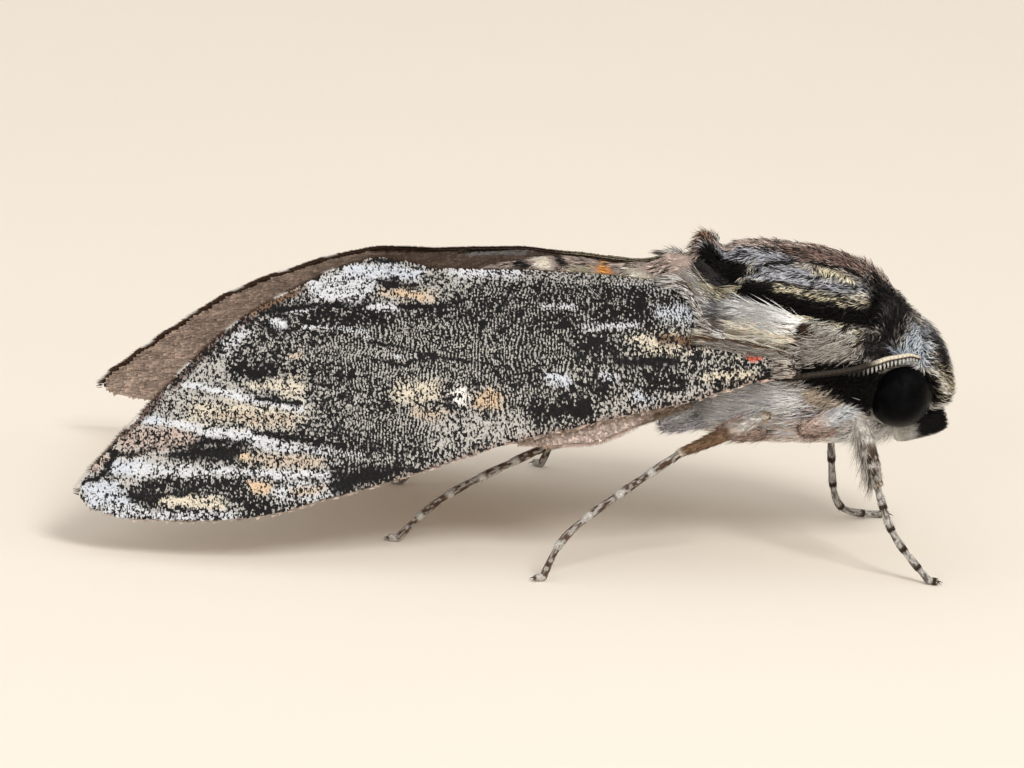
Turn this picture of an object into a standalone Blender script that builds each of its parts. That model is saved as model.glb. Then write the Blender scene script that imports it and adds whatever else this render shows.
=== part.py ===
"""A large hawk moth at rest on a flat surface, at life size.

Sizes are in millimetres, in the moth's own body frame: +X runs to the head, +Y to the moth's left and +Z up,
with the ridge line of the closed wings along the X axis at height RIDGE. stand() tips that frame nose up by
STANCE_PITCH, so that the six feet are level, and gives metres. rest_on_floor() then puts the world's origin
under the middle of the whole moth's box. The solids reach out to the tips of the coat.
"""

from math import asin, cos, pi, radians, sin, tan

import bmesh
import bpy
from mathutils import Matrix, Vector

MM = 0.001
GAP = 0.2  # between two pieces that touch in life
STANCE_PITCH = radians(4.0)

# Wings, folded like a roof: a point is x along the ridge, q down the slope from it, and h above the slope.
RIDGE = 18.5
ROOF_SLOPE = radians(42.0)
WING_THICKNESS = 0.5
TIP_CROWDING = 1.35
# Camber of the forewing, by x: height at the crown of the cross-section, and at its trailing edge.
WING_CAMBER = (
    (-28.3, 0.15, 0.1),
    (-20.0, 0.6, 0.4),
    (-11.0, 1.0, 0.65),
    (-8.2, 1.2, 0.8),
    (-4.0, 1.7, 1.4),
    (0.0, 2.0, 1.6),
    (4.0, 2.0, 1.15),
    (8.0, 1.95, 0.7),
    (9.0, 1.9, 0.8),
    (10.4, 1.85, 1.2),
    (11.5, 1.75, 1.2),
    (12.6, 1.6, 0.6),
    (18.2, 0.6, 0.2),
)
# Forewing outline, by x. The leading edge is the costa. The trailing edge is the inner margin from the root
# to the tornus, and then the outer margin from the tornus to the apex.
FOREWING_ROOT, TORNUS, APEX = 18.2, -10.7, -27.6
FOREWING_COSTA = (
    (APEX, 19.2),
    (-27.2, 20.0),
    (-26.0, 20.7),
    (-24.0, 21.2),
    (-19.9, 21.35),
    (-16.0, 21.0),
    (-11.0, 19.5),
    (-5.9, 17.7),
    (-0.8, 15.7),
    (5.0, 14.0),
    (8.3, 13.1),
    (11.1, 12.4),
    (13.4, 11.6),
    (15.7, 10.8),
    (FOREWING_ROOT, 10.3),
)
FOREWING_TRAILING = (
    (APEX, 18.9),
    (-27.0, 17.8),
    (-25.0, 15.0),
    (-22.4, 11.6),
    (-19.9, 8.5),
    (-17.4, 6.0),
    (-13.6, 3.4),
    (TORNUS, 1.9),
    (-8.6, 1.3),
    (-6.6, 1.8),
    (-4.7, 2.6),
    (0.0, 2.9),
    (6.0, 2.8),
    (9.0, 3.1),
    (11.1, 3.4),
    (11.7, 4.6),
    (12.6, 6.5),
    (14.0, 7.4),
    (16.0, 8.1),
    (FOREWING_ROOT, 8.8),
)
HINDWING_ROOT, HINDWING_TIP = 13.4, -11.6
HINDWING_DROP = 0.4  # clear space between forewing and hindwing
HINDWING_COSTA = (
    (HINDWING_TIP, 13.6),
    (-11.0, 15.4),
    (-8.5, 16.6),
    (-4.0, 16.3),
    (0.0, 15.4),
    (3.0, 15.2),
    (5.0, 14.9),
    (7.0, 14.1),
    (9.0, 12.6),
    (HINDWING_ROOT, 11.0),
)
HINDWING_TRAILING = (
    (HINDWING_TIP, 13.0),
    (-11.0, 10.8),
    (-8.0, 8.3),
    (-3.0, 7.7),
    (5.0, 7.9),
    (HINDWING_ROOT, 8.9),
)

# Cross-sections of the body, front to back: x, top, bottom, half width.
HEAD = (
    (28.55, 9.7, 8.5, 0.6),
    (28.3, 10.9, 8.1, 1.6),
    (28.0, 11.8, 7.9, 2.2),
    (27.4, 12.9, 7.7, 2.9),
    (26.5, 13.9, 7.4, 3.4),
    (25.3, 15.3, 6.4, 3.8),
    (24.2, 16.5, 5.7, 4.1),
)
THORAX = (
    (24.1, 16.6, 5.9, 4.2),
    (23.0, 17.5, 5.5, 5.1),
    (21.0, 18.35, 5.2, 5.8),
    (18.0, 18.85, 5.2, 6.0),
    (16.2, 19.05, 5.25, 5.65),
    (14.9, 19.0, 5.35, 5.3),
    (13.9, 18.7, 5.5, 4.95),
    (13.1, 19.1, 5.75, 4.65),
    (12.6, 19.35, 5.9, 4.2),
    (11.9, 18.9, 6.2, 3.4),
)
ABDOMEN = (
    (11.7, 18.3, 6.6, 4.3),
    (10.3, 18.25, 6.6, 4.6),
    (9.0, 17.7, 6.6, 4.6),
    (7.0, 17.55, 6.8, 4.7),
    (5.0, 17.85, 7.0, 4.7),
    (3.0, 18.05, 7.2, 4.6),
    (0.0, 17.75, 7.8, 4.3),
    (-3.0, 16.95, 8.6, 3.8),
    (-6.0, 15.9, 9.5, 3.15),
    (-9.0, 14.5, 10.5, 2.25),
    (-11.0, 13.4, 11.3, 1.2),
    (-11.8, 12.75, 11.95, 0.5),
)
BODY_SIDES = 20  # corners of each cross-section
HEAD_SECTIONS, HEAD_CROWDING = 10, 1.6
THORAX_SECTIONS = 13
ABDOMEN_RINGS, RING_GROOVE = 8, 0.16
ABDOMEN_CREST = 0.7  # how far the back rises to a crest between the wings, where 0 is a plain oval

EYE_CENTRE, EYE_RADIUS = (25.15, 2.75, 9.2), 2.15
EYE_SEGMENTS, EYE_ROWS = 16, 12
# Labial palps: x, y, z, radius, from the root up to the tip in front of the face.
PALP = (
    (25.0, 1.2, 6.35, 0.88),
    (25.7, 1.2, 6.5, 0.94),
    (26.5, 1.15, 6.7, 0.95),
    (27.3, 1.1, 6.85, 0.88),
    (27.85, 1.02, 6.98, 0.74),
)
# Antenna: x, y, z, radius, from its root above the eye back along the thorax and under the forewing.
ANTENNA = (
    (26.4, 3.25, 11.65, 0.28),
    (25.5, 4.15, 12.0, 0.36),
    (24.4, 4.95, 12.0, 0.4),
    (23.3, 5.75, 11.85, 0.42),
    (22.0, 6.4, 11.65, 0.43),
    (20.6, 6.7, 11.5, 0.43),
    (19.3, 6.75, 11.35, 0.43),
    (18.0, 6.6, 11.15, 0.43),
    (16.0, 6.4, 11.1, 0.42),
    (13.0, 6.1, 11.0, 0.4),
    (10.0, 6.3, 10.6, 0.36),
    (6.0, 6.9, 10.0, 0.3),
    (4.4, 7.1, 9.8, 0.25),
)
# Tegula, the shoulder flap: its middle and half sizes along x and round the thorax, in degrees from the top.
TEGULA_X, TEGULA_HALF_LENGTH = 19.2, 4.7
TEGULA_ANGLE, TEGULA_HALF_ANGLE = 41.0, 18.0
TEGULA_PROUD, TEGULA_THICKNESS = 0.22, 0.6
TEGULA_TAPER, TEGULA_END = 0.18, 0.25  # narrowing to the rear, and width at its ends, as shares
TEGULA_SLANT = 3.0  # degrees that its middle line turns down from its middle to its front end
TEGULA_SKIN_TURN = 8.5  # degrees round the thorax for each millimetre

# Legs: hip, trochanter, knee and ankle, each as x, y to the side and z. The tarsus leaves the ankle towards
# the first of its points and comes down on the floor at the second. Radii are for the coxa, femur and tibia
# at their thickest, and for the first and last tarsal segments.
LEGS = {
    "foreleg": {
        "points": ((21.4, 2.6, 7.2), (18.3, 5.7, 7.4), (22.2, 6.7, 9.1), (23.56, 7.6, 4.25)),
        "tarsus": ((24.43, 8.3, 1.2), (27.45, 9.1)),
        "radii": (0.8, 0.68, 0.75, 0.33, 0.28),
    },
    "midleg": {
        "points": ((17.2, 2.6, 6.8), (13.1, 4.3, 7.0), (17.0, 7.5, 9.2), (10.7, 10.0, 7.05)),
        "tarsus": ((3.2, 13.8, 2.9), (1.45, 14.7)),
        "radii": (0.85, 0.65, 0.6, 0.34, 0.28),
    },
    "hindleg": {
        "points": ((13.4, 1.9, 7.4), (9.3, 3.3, 7.1), (12.4, 5.9, 9.6), (2.15, 6.4, 6.6)),
        "tarsus": ((-4.6, 6.9, 3.5), (-8.0, 7.3)),
        "radii": (0.7, 0.6, 0.6, 0.34, 0.28),
    },
}
# The left foreleg reaches straight down, and the end of its tarsus lies forward along the floor.
LEFT_FORELEG = {
    "points": ((21.4, 2.6, 7.2), (18.2, 5.6, 7.2), (20.9, 6.4, 8.8), (21.1, 5.6, 4.2)),
    "tarsus": ((21.25, 5.65, -1.0), (25.0, 7.3)),
    "radii": (0.8, 0.68, 0.6, 0.33, 0.28),
}
KNEE_BEND = 0.85  # radius of the leg's centre line at a joint
MOST_REACH = 0.45  # of a leg part's length that a bend may take up
CORNER_STEPS = 12
LEG_PARTS = ("coxa", "femur", "tibia", "tarsus")
LEG_SIDES, LEG_SECTIONS = 8, 5
THIN_SHARE = 0.52  # thickness of a coxa, femur or tibia at its ends, as a share of its middle's
SWELLING_SPAN, SWELLING_FULLNESS = (0.08, 0.92), 0.7
SOCKET_SIDES = 10
TARSAL_SEGMENTS = 5
TARSAL_WAIST, TARSAL_FLARE = 0.92, 1.06  # radius at a segment's start and end, as shares
TARSUS_STEPS = 16
TOE_LENGTH = 0.6  # the stretch of each foot that lies along the floor
FOOT_LEVEL = 0.8  # height of its centre line, in radii

# Colours, as linear RGB, with roughness.
COLOURS = {
    "grey_fur": ((0.16, 0.14, 0.13), 0.9),
    "pale_fur": ((0.36, 0.31, 0.28), 0.9),
    "wing_scales": ((0.13, 0.12, 0.12), 0.75),
    "brown_scales": ((0.17, 0.13, 0.11), 0.8),
    "leg_scales": ((0.14, 0.11, 0.09), 0.7),
    "eye": ((0.004, 0.005, 0.006), 0.15),
    "antenna": ((0.45, 0.39, 0.3), 0.7),
}


def curve_through(points):
    """A smooth function of x through (x, value) pairs, which never overshoots them."""
    points = sorted(points)
    xs = [p[0] for p in points]
    ys = [p[1] for p in points]
    steps = [b - a for a, b in zip(xs, xs[1:])]
    slopes = [(b - a) / s for a, b, s in zip(ys, ys[1:], steps)]
    tangents = [slopes[0]]
    for left, right in zip(slopes, slopes[1:]):
        tangents.append(0.0 if left * right <= 0 else 2 * left * right / (left + right))
    tangents.append(slopes[-1])

    def value(x):
        x = min(max(x, xs[0]), xs[-1])
        i = next((k for k in range(len(steps)) if x <= xs[k + 1]), len(steps) - 1)
        t = (x - xs[i]) / steps[i]
        rise = ys[i] * (1 + 2 * t) * (1 - t) ** 2 + ys[i + 1] * t * t * (3 - 2 * t)
        return rise + steps[i] * (tangents[i] * t * (1 - t) ** 2 - tangents[i + 1] * t * t * (1 - t))

    return value


def stand(x, y, z):
    """A point of the body frame in metres, with the moth standing on level feet."""
    turned = Matrix.Rotation(-STANCE_PITCH, 3, "Y") @ Vector((x, y, z))
    return MM * turned


def on_floor(x, y):
    """The point of the body frame that stands on the floor at this x and y."""
    return (x, y, -x * tan(STANCE_PITCH))


def material(slot):
    made = bpy.data.materials.get(slot)
    if made is None:
        made = bpy.data.materials.new(slot)
        made.use_nodes = True
        shader = made.node_tree.nodes["Principled BSDF"]
        colour, roughness = COLOURS[slot]
        shader.inputs["Base Color"].default_value = (*colour, 1.0)
        shader.inputs["Roughness"].default_value = roughness
        shader.inputs["Metallic"].default_value = 0.0
    return made


def new_object(name, bm, slot, smooth=50.0):
    """A named object from a bmesh, with its faces turned outwards and its round parts shaded smooth."""
    bmesh.ops.recalc_face_normals(bm, faces=bm.faces)
    mesh = bpy.data.meshes.new(name)
    bm.to_mesh(mesh)
    bm.free()
    mesh.shade_smooth()
    mesh.set_sharp_from_angle(angle=radians(smooth))
    obj = bpy.data.objects.new(name, mesh)
    obj.data.materials.append(material(slot))
    bpy.context.scene.collection.objects.link(obj)
    return obj


def as_cutter(obj):
    obj.hide_render = True
    obj.display_type = "WIRE"
    return obj


def cut(obj, cutter):
    modifier = obj.modifiers.new("room for " + cutter.name, "BOOLEAN")
    modifier.operation = "DIFFERENCE"
    modifier.solver = "EXACT"
    modifier.object = cutter


def mirrored(obj, name):
    """The same piece on the moth's other side."""
    bm = bmesh.new()
    bm.from_mesh(obj.data)
    bmesh.ops.transform(bm, matrix=Matrix.Scale(-1, 4, (0, 1, 0)), verts=bm.verts)
    return new_object(name, bm, obj.data.materials[0].name)


def lofted(rings):
    """A closed bmesh skin through rings of points that all have the same number of points."""
    bm = bmesh.new()
    loops = [[bm.verts.new(p) for p in ring] for ring in rings]
    sides = len(loops[0])
    for first, second in zip(loops, loops[1:]):
        for k in range(sides):
            n = (k + 1) % sides
            bm.faces.new((first[k], first[n], second[n], second[k]))
    bm.faces.new(loops[0])
    bm.faces.new(loops[-1])
    return bm


# ---------------------------------------------------------------- body


class Profile:
    """The outer surface of a stretch of body, from its cross-sections."""

    def __init__(self, sections, crest=0.0):
        self.crest = crest
        self.top = curve_through([(x, top) for x, top, _, _ in sections])
        self.bottom = curve_through([(x, bottom) for x, _, bottom, _ in sections])
        self.half_width = curve_through([(x, half) for x, _, _, half in sections])

    def point(self, x, angle, proud=0.0):
        """The point at this angle from the top, towards +Y, and this far outside the surface."""
        middle = (self.top(x) + self.bottom(x)) / 2
        half_height = (self.top(x) - self.bottom(x)) / 2
        rise = cos(angle)
        if rise > 0:
            rise = rise ** (1 + self.crest)
        return (x, (self.half_width(x) + proud) * sin(angle), middle + (half_height + proud) * rise)

    def ring(self, x, sides, proud=0.0):
        return [stand(*self.point(x, 2 * pi * k / sides, proud)) for k in range(sides)]


def stations(start, end, count):
    return [start + (end - start) * i / (count - 1) for i in range(count)]


def build_head():
    profile = Profile(HEAD)
    front, neck = HEAD[0][0], HEAD[-1][0]
    # Sections crowd together towards the blunt face.
    shares = [share**HEAD_CROWDING for share in stations(0, 1, HEAD_SECTIONS)]
    rings = [profile.ring(front + (neck - front) * share, BODY_SIDES) for share in shares]
    return new_object("head", lofted(rings), "grey_fur")


def build_thorax():
    profile = Profile(THORAX)
    xs = stations(THORAX[0][0], THORAX[-1][0], THORAX_SECTIONS)
    return new_object("thorax", lofted([profile.ring(x, BODY_SIDES) for x in xs]), "grey_fur")


def build_abdomen():
    profile = Profile(ABDOMEN, ABDOMEN_CREST)
    base, tip = ABDOMEN[0][0], ABDOMEN[-1][0]
    count = ABDOMEN_RINGS * 2
    rings = []
    for i in range(count + 1):
        # Each ring of the abdomen swells between two shallow grooves.
        groove = RING_GROOVE if i % 2 == 0 and 0 < i < count else 0.0
        rings.append(profile.ring(base + (tip - base) * i / count, BODY_SIDES, -groove))
    return new_object("abdomen", lofted(rings), "pale_fur")


def tegula_patch(proud, thickness, grow):
    """A bmesh of the shoulder flap: a leaf-shaped patch of the thorax's surface, with this thickness."""
    profile = Profile(THORAX)
    rows, columns = 5, 8
    surfaces = []
    for level in (proud, proud - thickness):
        grid = []
        for i in range(columns + 1):
            along = -1 + 2 * i / columns
            x = TEGULA_X + (TEGULA_HALF_LENGTH + grow) * along
            # The flap is round in front, at +X, and narrows to the rear.
            swell = max((1 - along * along) ** 0.5, TEGULA_END) * (1 - TEGULA_TAPER + TEGULA_TAPER * along)
            half = radians(TEGULA_HALF_ANGLE + TEGULA_SKIN_TURN * grow) * swell
            centre = radians(TEGULA_ANGLE + TEGULA_SLANT * along)
            angles = stations(centre - half, centre + half, rows + 1)
            grid.append([stand(*profile.point(x, angle, level)) for angle in angles])
        surfaces.append(grid)
    outer, inner = surfaces
    rings = [outer_row + inner_row[::-1] for outer_row, inner_row in zip(outer, inner)]
    return lofted(rings)


def build_tegulae(thorax):
    left = new_object("tegula_left", tegula_patch(TEGULA_PROUD, TEGULA_THICKNESS, 0.0), "grey_fur")
    mirrored(left, "tegula_right")
    room = tegula_patch(TEGULA_PROUD + 1.0, TEGULA_THICKNESS + 1.0 + GAP, GAP)
    left_room = as_cutter(new_object("tegula_left_room", room, "grey_fur"))
    right_room = as_cutter(mirrored(left_room, "tegula_right_room"))
    cut(thorax, left_room)
    cut(thorax, right_room)


def build_eyes(head, thorax):
    for side, name in ((1, "left"), (-1, "right")):
        x, y, z = EYE_CENTRE
        where = stand(x, side * y, z)
        for radius, label in ((EYE_RADIUS, "eye_" + name), (EYE_RADIUS + GAP, "eye_" + name + "_room")):
            bm = bmesh.new()
            bmesh.ops.create_uvsphere(bm, u_segments=EYE_SEGMENTS, v_segments=EYE_ROWS, radius=radius * MM)
            # The poles lie across the head, so that the facets run round the eye's rim.
            eye = new_object(label, bm, "eye", smooth=80.0)
            eye.rotation_euler = (pi / 2, 0, 0)
            eye.location = where
        room = as_cutter(bpy.data.objects["eye_" + name + "_room"])
        cut(head, room)
        cut(thorax, room)


# ---------------------------------------------------------------- limbs


def tube_rings(centres, radii, sides, directions=None):
    """Rings square to a line of points, turned as little as possible from one to the next."""
    rings = []
    across = Vector((0, 0, 1))
    for i, (centre, radius) in enumerate(zip(centres, radii)):
        ahead = centres[min(i + 1, len(centres) - 1)] - centres[max(i - 1, 0)]
        if directions:
            ahead = directions[i]
        ahead = ahead.normalized()
        across = (across - ahead * across.dot(ahead)).normalized()
        other = ahead.cross(across)
        turns = [2 * pi * k / sides for k in range(sides)]
        rings.append([centre + radius * (across * cos(turn) + other * sin(turn)) for turn in turns])
    return rings


def through(points, count):
    """Points and radii evenly spread by number along a smooth line through these, as lists of numbers."""
    columns = [curve_through(list(enumerate(column))) for column in zip(*points)]
    steps = stations(0, len(points) - 1, count)
    return [[column(t) for column in columns] for t in steps]


def tapered(points, count, sides, grow=0.0):
    """A bmesh of a round piece through (x, y, z, radius) points, with rounded ends, and this much fatter."""
    spread = through(points, count)
    ends = []
    for inner, outer in ((spread[0], spread[1]), (spread[-1], spread[-2])):
        direction = Vector(inner[:3]) - Vector(outer[:3])
        # A smaller ring just past each end rounds it.
        tip = Vector(inner[:3]) + direction.normalized() * (inner[3] / 2 + grow)
        ends.append([*tip, inner[3] / 2])
    spread = [ends[0], *spread, ends[1]]
    centres = [stand(*p[:3]) for p in spread]
    return lofted(tube_rings(centres, [(p[3] + grow) * MM for p in spread], sides))


def build_pair(name, points, count, sides, slot, head):
    """A palp or an antenna on each side, with room for it in the head."""
    left = new_object(name + "_left", tapered(points, count, sides), slot)
    room = as_cutter(new_object(name + "_left_room", tapered(points, count, sides, GAP), slot))
    cut(head, room)
    cut(head, as_cutter(mirrored(room, name + "_right_room")))
    mirrored(left, name + "_right")


def rounded_corner(before, corner, after, bend):
    """Points of the curve that rounds a corner."""
    towards, away = (before - corner).normalized(), (after - corner).normalized()
    half_turn = (pi - towards.angle(away)) / 2
    reach = bend * tan(half_turn)
    reach = min(reach, (before - corner).length * MOST_REACH, (after - corner).length * MOST_REACH)
    start, end = corner + towards * reach, corner + away * reach
    steps = stations(0, 1, CORNER_STEPS + 1)
    return [start * (1 - t) ** 2 + corner * 2 * t * (1 - t) + end * t * t for t in steps]


def swelling(share):
    """Thickness of a leg part at this share of its length, as a share of its middle's."""
    return THIN_SHARE + (1 - THIN_SHARE) * sin(pi * share) ** SWELLING_FULLNESS


def leg_lines(leg, side):
    """The centre lines of a leg's coxa, femur, tibia and tarsus, in body millimetres."""
    places = [Vector((x, side * y, z)) for x, y, z in leg["points"]]
    bend, foot = leg["tarsus"]
    bend = Vector((bend[0], side * bend[1], bend[2]))
    first, last = leg["radii"][3:]
    toe = Vector(on_floor(foot[0], side * foot[1])) + Vector((0, 0, last * FOOT_LEVEL))
    heading = Vector(on_floor(toe.x - bend.x, toe.y - bend.y)).normalized()
    heel = toe - heading * TOE_LENGTH
    places.append(bend)
    arcs = [rounded_corner(places[i - 1], places[i], places[i + 1], KNEE_BEND) for i in (1, 2, 3)]
    stretches = []
    begin = [places[0]]
    half = CORNER_STEPS // 2
    for arc in arcs:
        stretches.append(begin + arc[: half + 1])
        begin = arc[half:]
    # The tarsus bends down from the ankle to the heel in one long curve, and ends in a toe along the floor.
    ankle = begin[-1]
    steps = stations(0, 1, TARSUS_STEPS)
    curve = [ankle * (1 - t) ** 3 + bend * 3 * t * (1 - t) + heel * t**3 for t in steps]
    stretches.append(begin[:-1] + curve + [toe])
    return stretches


def resampled(line, count, trim_start, trim_end):
    """Evenly spaced points along a line and its directions there, starting and ending short of its ends."""
    lengths = [0.0]
    for a, b in zip(line, line[1:]):
        lengths.append(lengths[-1] + (b - a).length)
    total = lengths[-1]
    points, directions = [], []
    for s in stations(trim_start, total - trim_end, count):
        i = max((k for k in range(len(line) - 1) if lengths[k] <= s), default=0)
        span = line[i + 1] - line[i]
        points.append(line[i] + span * (s - lengths[i]) / span.length)
        directions.append(span.normalized())
    return points, directions


def tarsus_rings(line, first, last):
    """Centres, directions and radii of the tarsus, each segment wider at its end than at its start."""
    count = TARSAL_SEGMENTS * 2
    centres, directions = resampled(line[:-1], count, GAP / 2, 0.0)
    radii = []
    for i in range(count):
        mean = first + (last - first) * i / (count - 1)
        radii.append(mean * (TARSAL_FLARE if i % 2 else TARSAL_WAIST))
    # The toe lies level behind the heel's ring, which faces half way round the bend.
    toe = line[-1]
    heading = (toe - line[-2]).normalized()
    directions[-1] = directions[-1] + heading
    return centres + [toe], directions + [heading], radii[:-1] + [last, last]


def level_feet(bm):
    """Cuts a leg flat where it meets the floor."""
    geometry = bm.verts[:] + bm.edges[:] + bm.faces[:]
    floor = {"plane_co": (0, 0, 0), "plane_no": (0, 0, -1)}
    parted = bmesh.ops.bisect_plane(bm, geom=geometry, clear_outer=True, **floor)
    rim = [e for e in parted["geom_cut"] if isinstance(e, bmesh.types.BMEdge)]
    bmesh.ops.holes_fill(bm, edges=rim)


def build_leg(name, side_name, leg, side):
    solids = []
    coxa_radius, femur_radius, tibia_radius, first, last = leg["radii"]
    thickest = (coxa_radius, femur_radius, tibia_radius)
    for index, (part, line) in enumerate(zip(LEG_PARTS, leg_lines(leg, side))):
        if part == "tarsus":
            centres, directions, radii = tarsus_rings(line, first, last)
        else:
            centres, directions = resampled(line, LEG_SECTIONS, GAP / 2 if index else 0.0, GAP / 2)
            radii = [thickest[index] * swelling(share) for share in stations(*SWELLING_SPAN, LEG_SECTIONS)]
        ahead = [stand(*d) for d in directions]
        rings = tube_rings([stand(*c) for c in centres], [r * MM for r in radii], LEG_SIDES, ahead)
        bm = lofted(rings)
        if part == "tarsus":
            level_feet(bm)
        solids.append(new_object(f"{name}_{side_name}_{part}", bm, "leg_scales"))
    return solids


def build_legs(thorax, abdomen):
    for name, leg in LEGS.items():
        for side, side_name in ((1, "left"), (-1, "right")):
            chosen = LEFT_FORELEG if (name, side_name) == ("foreleg", "left") else leg
            coxa = build_leg(name, side_name, chosen, side)[0]
            # The coxa sits in a socket of the body, a gap wider than itself.
            line = leg_lines(chosen, side)[0]
            centres = resampled(line, LEG_SECTIONS, -2 * GAP, -GAP)[0]
            radius = chosen["radii"][0] + GAP
            rings = tube_rings([stand(*c) for c in centres], [radius * MM] * LEG_SECTIONS, SOCKET_SIDES)
            socket = as_cutter(new_object(coxa.name + "_room", lofted(rings), "leg_scales"))
            cut(thorax, socket)
            if name == "hindleg":
                cut(abdomen, socket)


# ---------------------------------------------------------------- wings


def wing_point(x, q, h, side):
    """A point of a wing: x along the ridge, q down the roof's slope and h above it."""
    y = q * cos(ROOF_SLOPE) + h * sin(ROOF_SLOPE)
    z = RIDGE - q * sin(ROOF_SLOPE) + h * cos(ROOF_SLOPE)
    return stand(x, side * y, z)


def build_wing(name, ends, costa, trailing, grid_size, drop, slot):
    """A cambered wing on each side: a sheet from its trailing edge to its costa, thickened inwards."""
    root, tip = ends
    columns, rows = grid_size
    lead, trail = curve_through(costa), curve_through(trailing)
    fore_lead, fore_trail = curve_through(FOREWING_COSTA), curve_through(FOREWING_TRAILING)
    crown_height = curve_through([(x, crown) for x, crown, _ in WING_CAMBER])
    edge_height = curve_through([(x, edge) for x, _, edge in WING_CAMBER])
    for side, side_name in ((1, "left"), (-1, "right")):
        bm = bmesh.new()
        grid = []
        for i in range(columns + 1):
            # Columns crowd together towards the rounded tip.
            x = tip + (root - tip) * (i / columns) ** TIP_CROWDING
            line = []
            for j in range(rows + 1):
                q = trail(x) + (lead(x) - trail(x)) * j / rows
                across = (q - fore_trail(x)) / max(fore_lead(x) - fore_trail(x), 1e-6)
                # The section is the end of a half sine wave, from the trailing edge's height to the costa.
                begin = asin(edge_height(x) / crown_height(x))
                bow = crown_height(x) * sin(begin + (pi - begin) * min(max(across, 0.0), 1.0))
                line.append(bm.verts.new(wing_point(x, q, bow - drop, side)))
            grid.append(line)
        for first, second in zip(grid, grid[1:]):
            for j in range(rows):
                bm.faces.new((first[j], first[j + 1], second[j + 1], second[j]))
        wing = new_object(f"{name}_{side_name}", bm, slot)
        facing = wing.data.polygons[len(wing.data.polygons) // 2].normal.z
        thicken = wing.modifiers.new("thickness", "SOLIDIFY")
        thicken.thickness = WING_THICKNESS * MM
        thicken.offset = -1.0 if facing > 0 else 1.0


# ---------------------------------------------------------------- whole


def rest_on_floor():
    """Moves every piece so that the world's origin is under the middle of the whole moth's box."""
    bpy.context.view_layer.update()
    graph = bpy.context.evaluated_depsgraph_get()
    corners = []
    for obj in bpy.data.objects:
        if not obj.hide_render:
            evaluated = obj.evaluated_get(graph)
            corners += [evaluated.matrix_world @ v.co for v in evaluated.data.vertices]
    low = [min(c[k] for c in corners) for k in range(3)]
    high = [max(c[k] for c in corners) for k in range(3)]
    shift = Vector((-(low[0] + high[0]) / 2, -(low[1] + high[1]) / 2, -low[2]))
    for obj in bpy.data.objects:
        obj.location += shift


def main():
    for obj in list(bpy.data.objects):
        bpy.data.objects.remove(obj)
    head = build_head()
    thorax = build_thorax()
    abdomen = build_abdomen()
    build_tegulae(thorax)
    build_eyes(head, thorax)
    build_pair("palp", PALP, 6, 8, "grey_fur", head)
    build_pair("antenna", ANTENNA, 16, 7, "antenna", head)
    build_legs(thorax, abdomen)
    ends = (FOREWING_ROOT, APEX)
    build_wing("forewing", ends, FOREWING_COSTA, FOREWING_TRAILING, (26, 5), 0.0, "wing_scales")
    ends = (HINDWING_ROOT, HINDWING_TIP)
    drop = WING_THICKNESS + HINDWING_DROP
    build_wing("hindwing", ends, HINDWING_COSTA, HINDWING_TRAILING, (12, 4), drop, "brown_scales")
    rest_on_floor()


main()
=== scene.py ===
"""The looks of a large hawk moth at rest: skin, coat, wing scales, eyes, feelers, legs, studio and camera.

Sizes are in millimetres in the moth's own body frame: +X runs to the head, +Y to the moth's left and +Z up,
with the ridge of the closed wings along the X axis at height RIDGE. stand() turns that frame into metres on
level feet. Angles round the body are in degrees from the middle of its back, positive on the moth's left.
"""

from math import cos, pi, radians, sin, tan

import bpy
import numpy as np
from mathutils import Matrix, Vector


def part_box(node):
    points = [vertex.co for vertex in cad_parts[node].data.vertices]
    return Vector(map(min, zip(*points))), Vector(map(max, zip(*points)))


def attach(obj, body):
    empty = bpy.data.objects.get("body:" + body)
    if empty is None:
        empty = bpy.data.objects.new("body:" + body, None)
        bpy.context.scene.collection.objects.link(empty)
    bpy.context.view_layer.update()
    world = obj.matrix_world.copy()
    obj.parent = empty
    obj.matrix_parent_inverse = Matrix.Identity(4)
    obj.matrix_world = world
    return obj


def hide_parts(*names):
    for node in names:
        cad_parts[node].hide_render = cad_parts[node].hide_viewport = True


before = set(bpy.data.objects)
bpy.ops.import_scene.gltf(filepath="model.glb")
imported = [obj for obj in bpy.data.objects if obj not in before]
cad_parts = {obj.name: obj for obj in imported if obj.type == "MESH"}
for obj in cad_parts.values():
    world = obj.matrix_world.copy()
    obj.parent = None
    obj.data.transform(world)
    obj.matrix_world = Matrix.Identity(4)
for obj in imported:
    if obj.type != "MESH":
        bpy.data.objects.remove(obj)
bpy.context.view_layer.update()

MM = 0.001
STANCE_PITCH = radians(4.0)

# ---------------------------------------------------------------- the shapes that the frame's solids follow

RIDGE = 18.5  # height of the closed wings' ridge
ROOF_SLOPE = radians(42.0)
# Camber of the forewing, by x: height at the crown of the cross-section, and at its trailing edge.
WING_CAMBER = (
    (-28.3, 0.15, 0.1), (-20, 0.6, 0.4), (-11, 1, 0.65), (-8.2, 1.2, 0.8), (-4, 1.7, 1.4), (0, 2, 1.6),
    (4, 2, 1.15), (8, 1.95, 0.7), (9, 1.9, 0.8), (10.4, 1.85, 1.2), (11.5, 1.75, 1.2), (12.6, 1.6, 0.6),
    (18.2, 0.6, 0.2),
)
FOREWING_ROOT, TORNUS, APEX = 18.2, -10.7, -27.6
FOREWING_COSTA = (
    (APEX, 19.2), (-27.2, 20), (-26, 20.7), (-24, 21.2), (-19.9, 21.35), (-16, 21), (-11, 19.5),
    (-5.9, 17.7), (-0.8, 15.7), (5, 14), (8.3, 13.1), (11.1, 12.4), (13.4, 11.6), (15.7, 10.8),
    (FOREWING_ROOT, 10.3),
)
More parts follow.
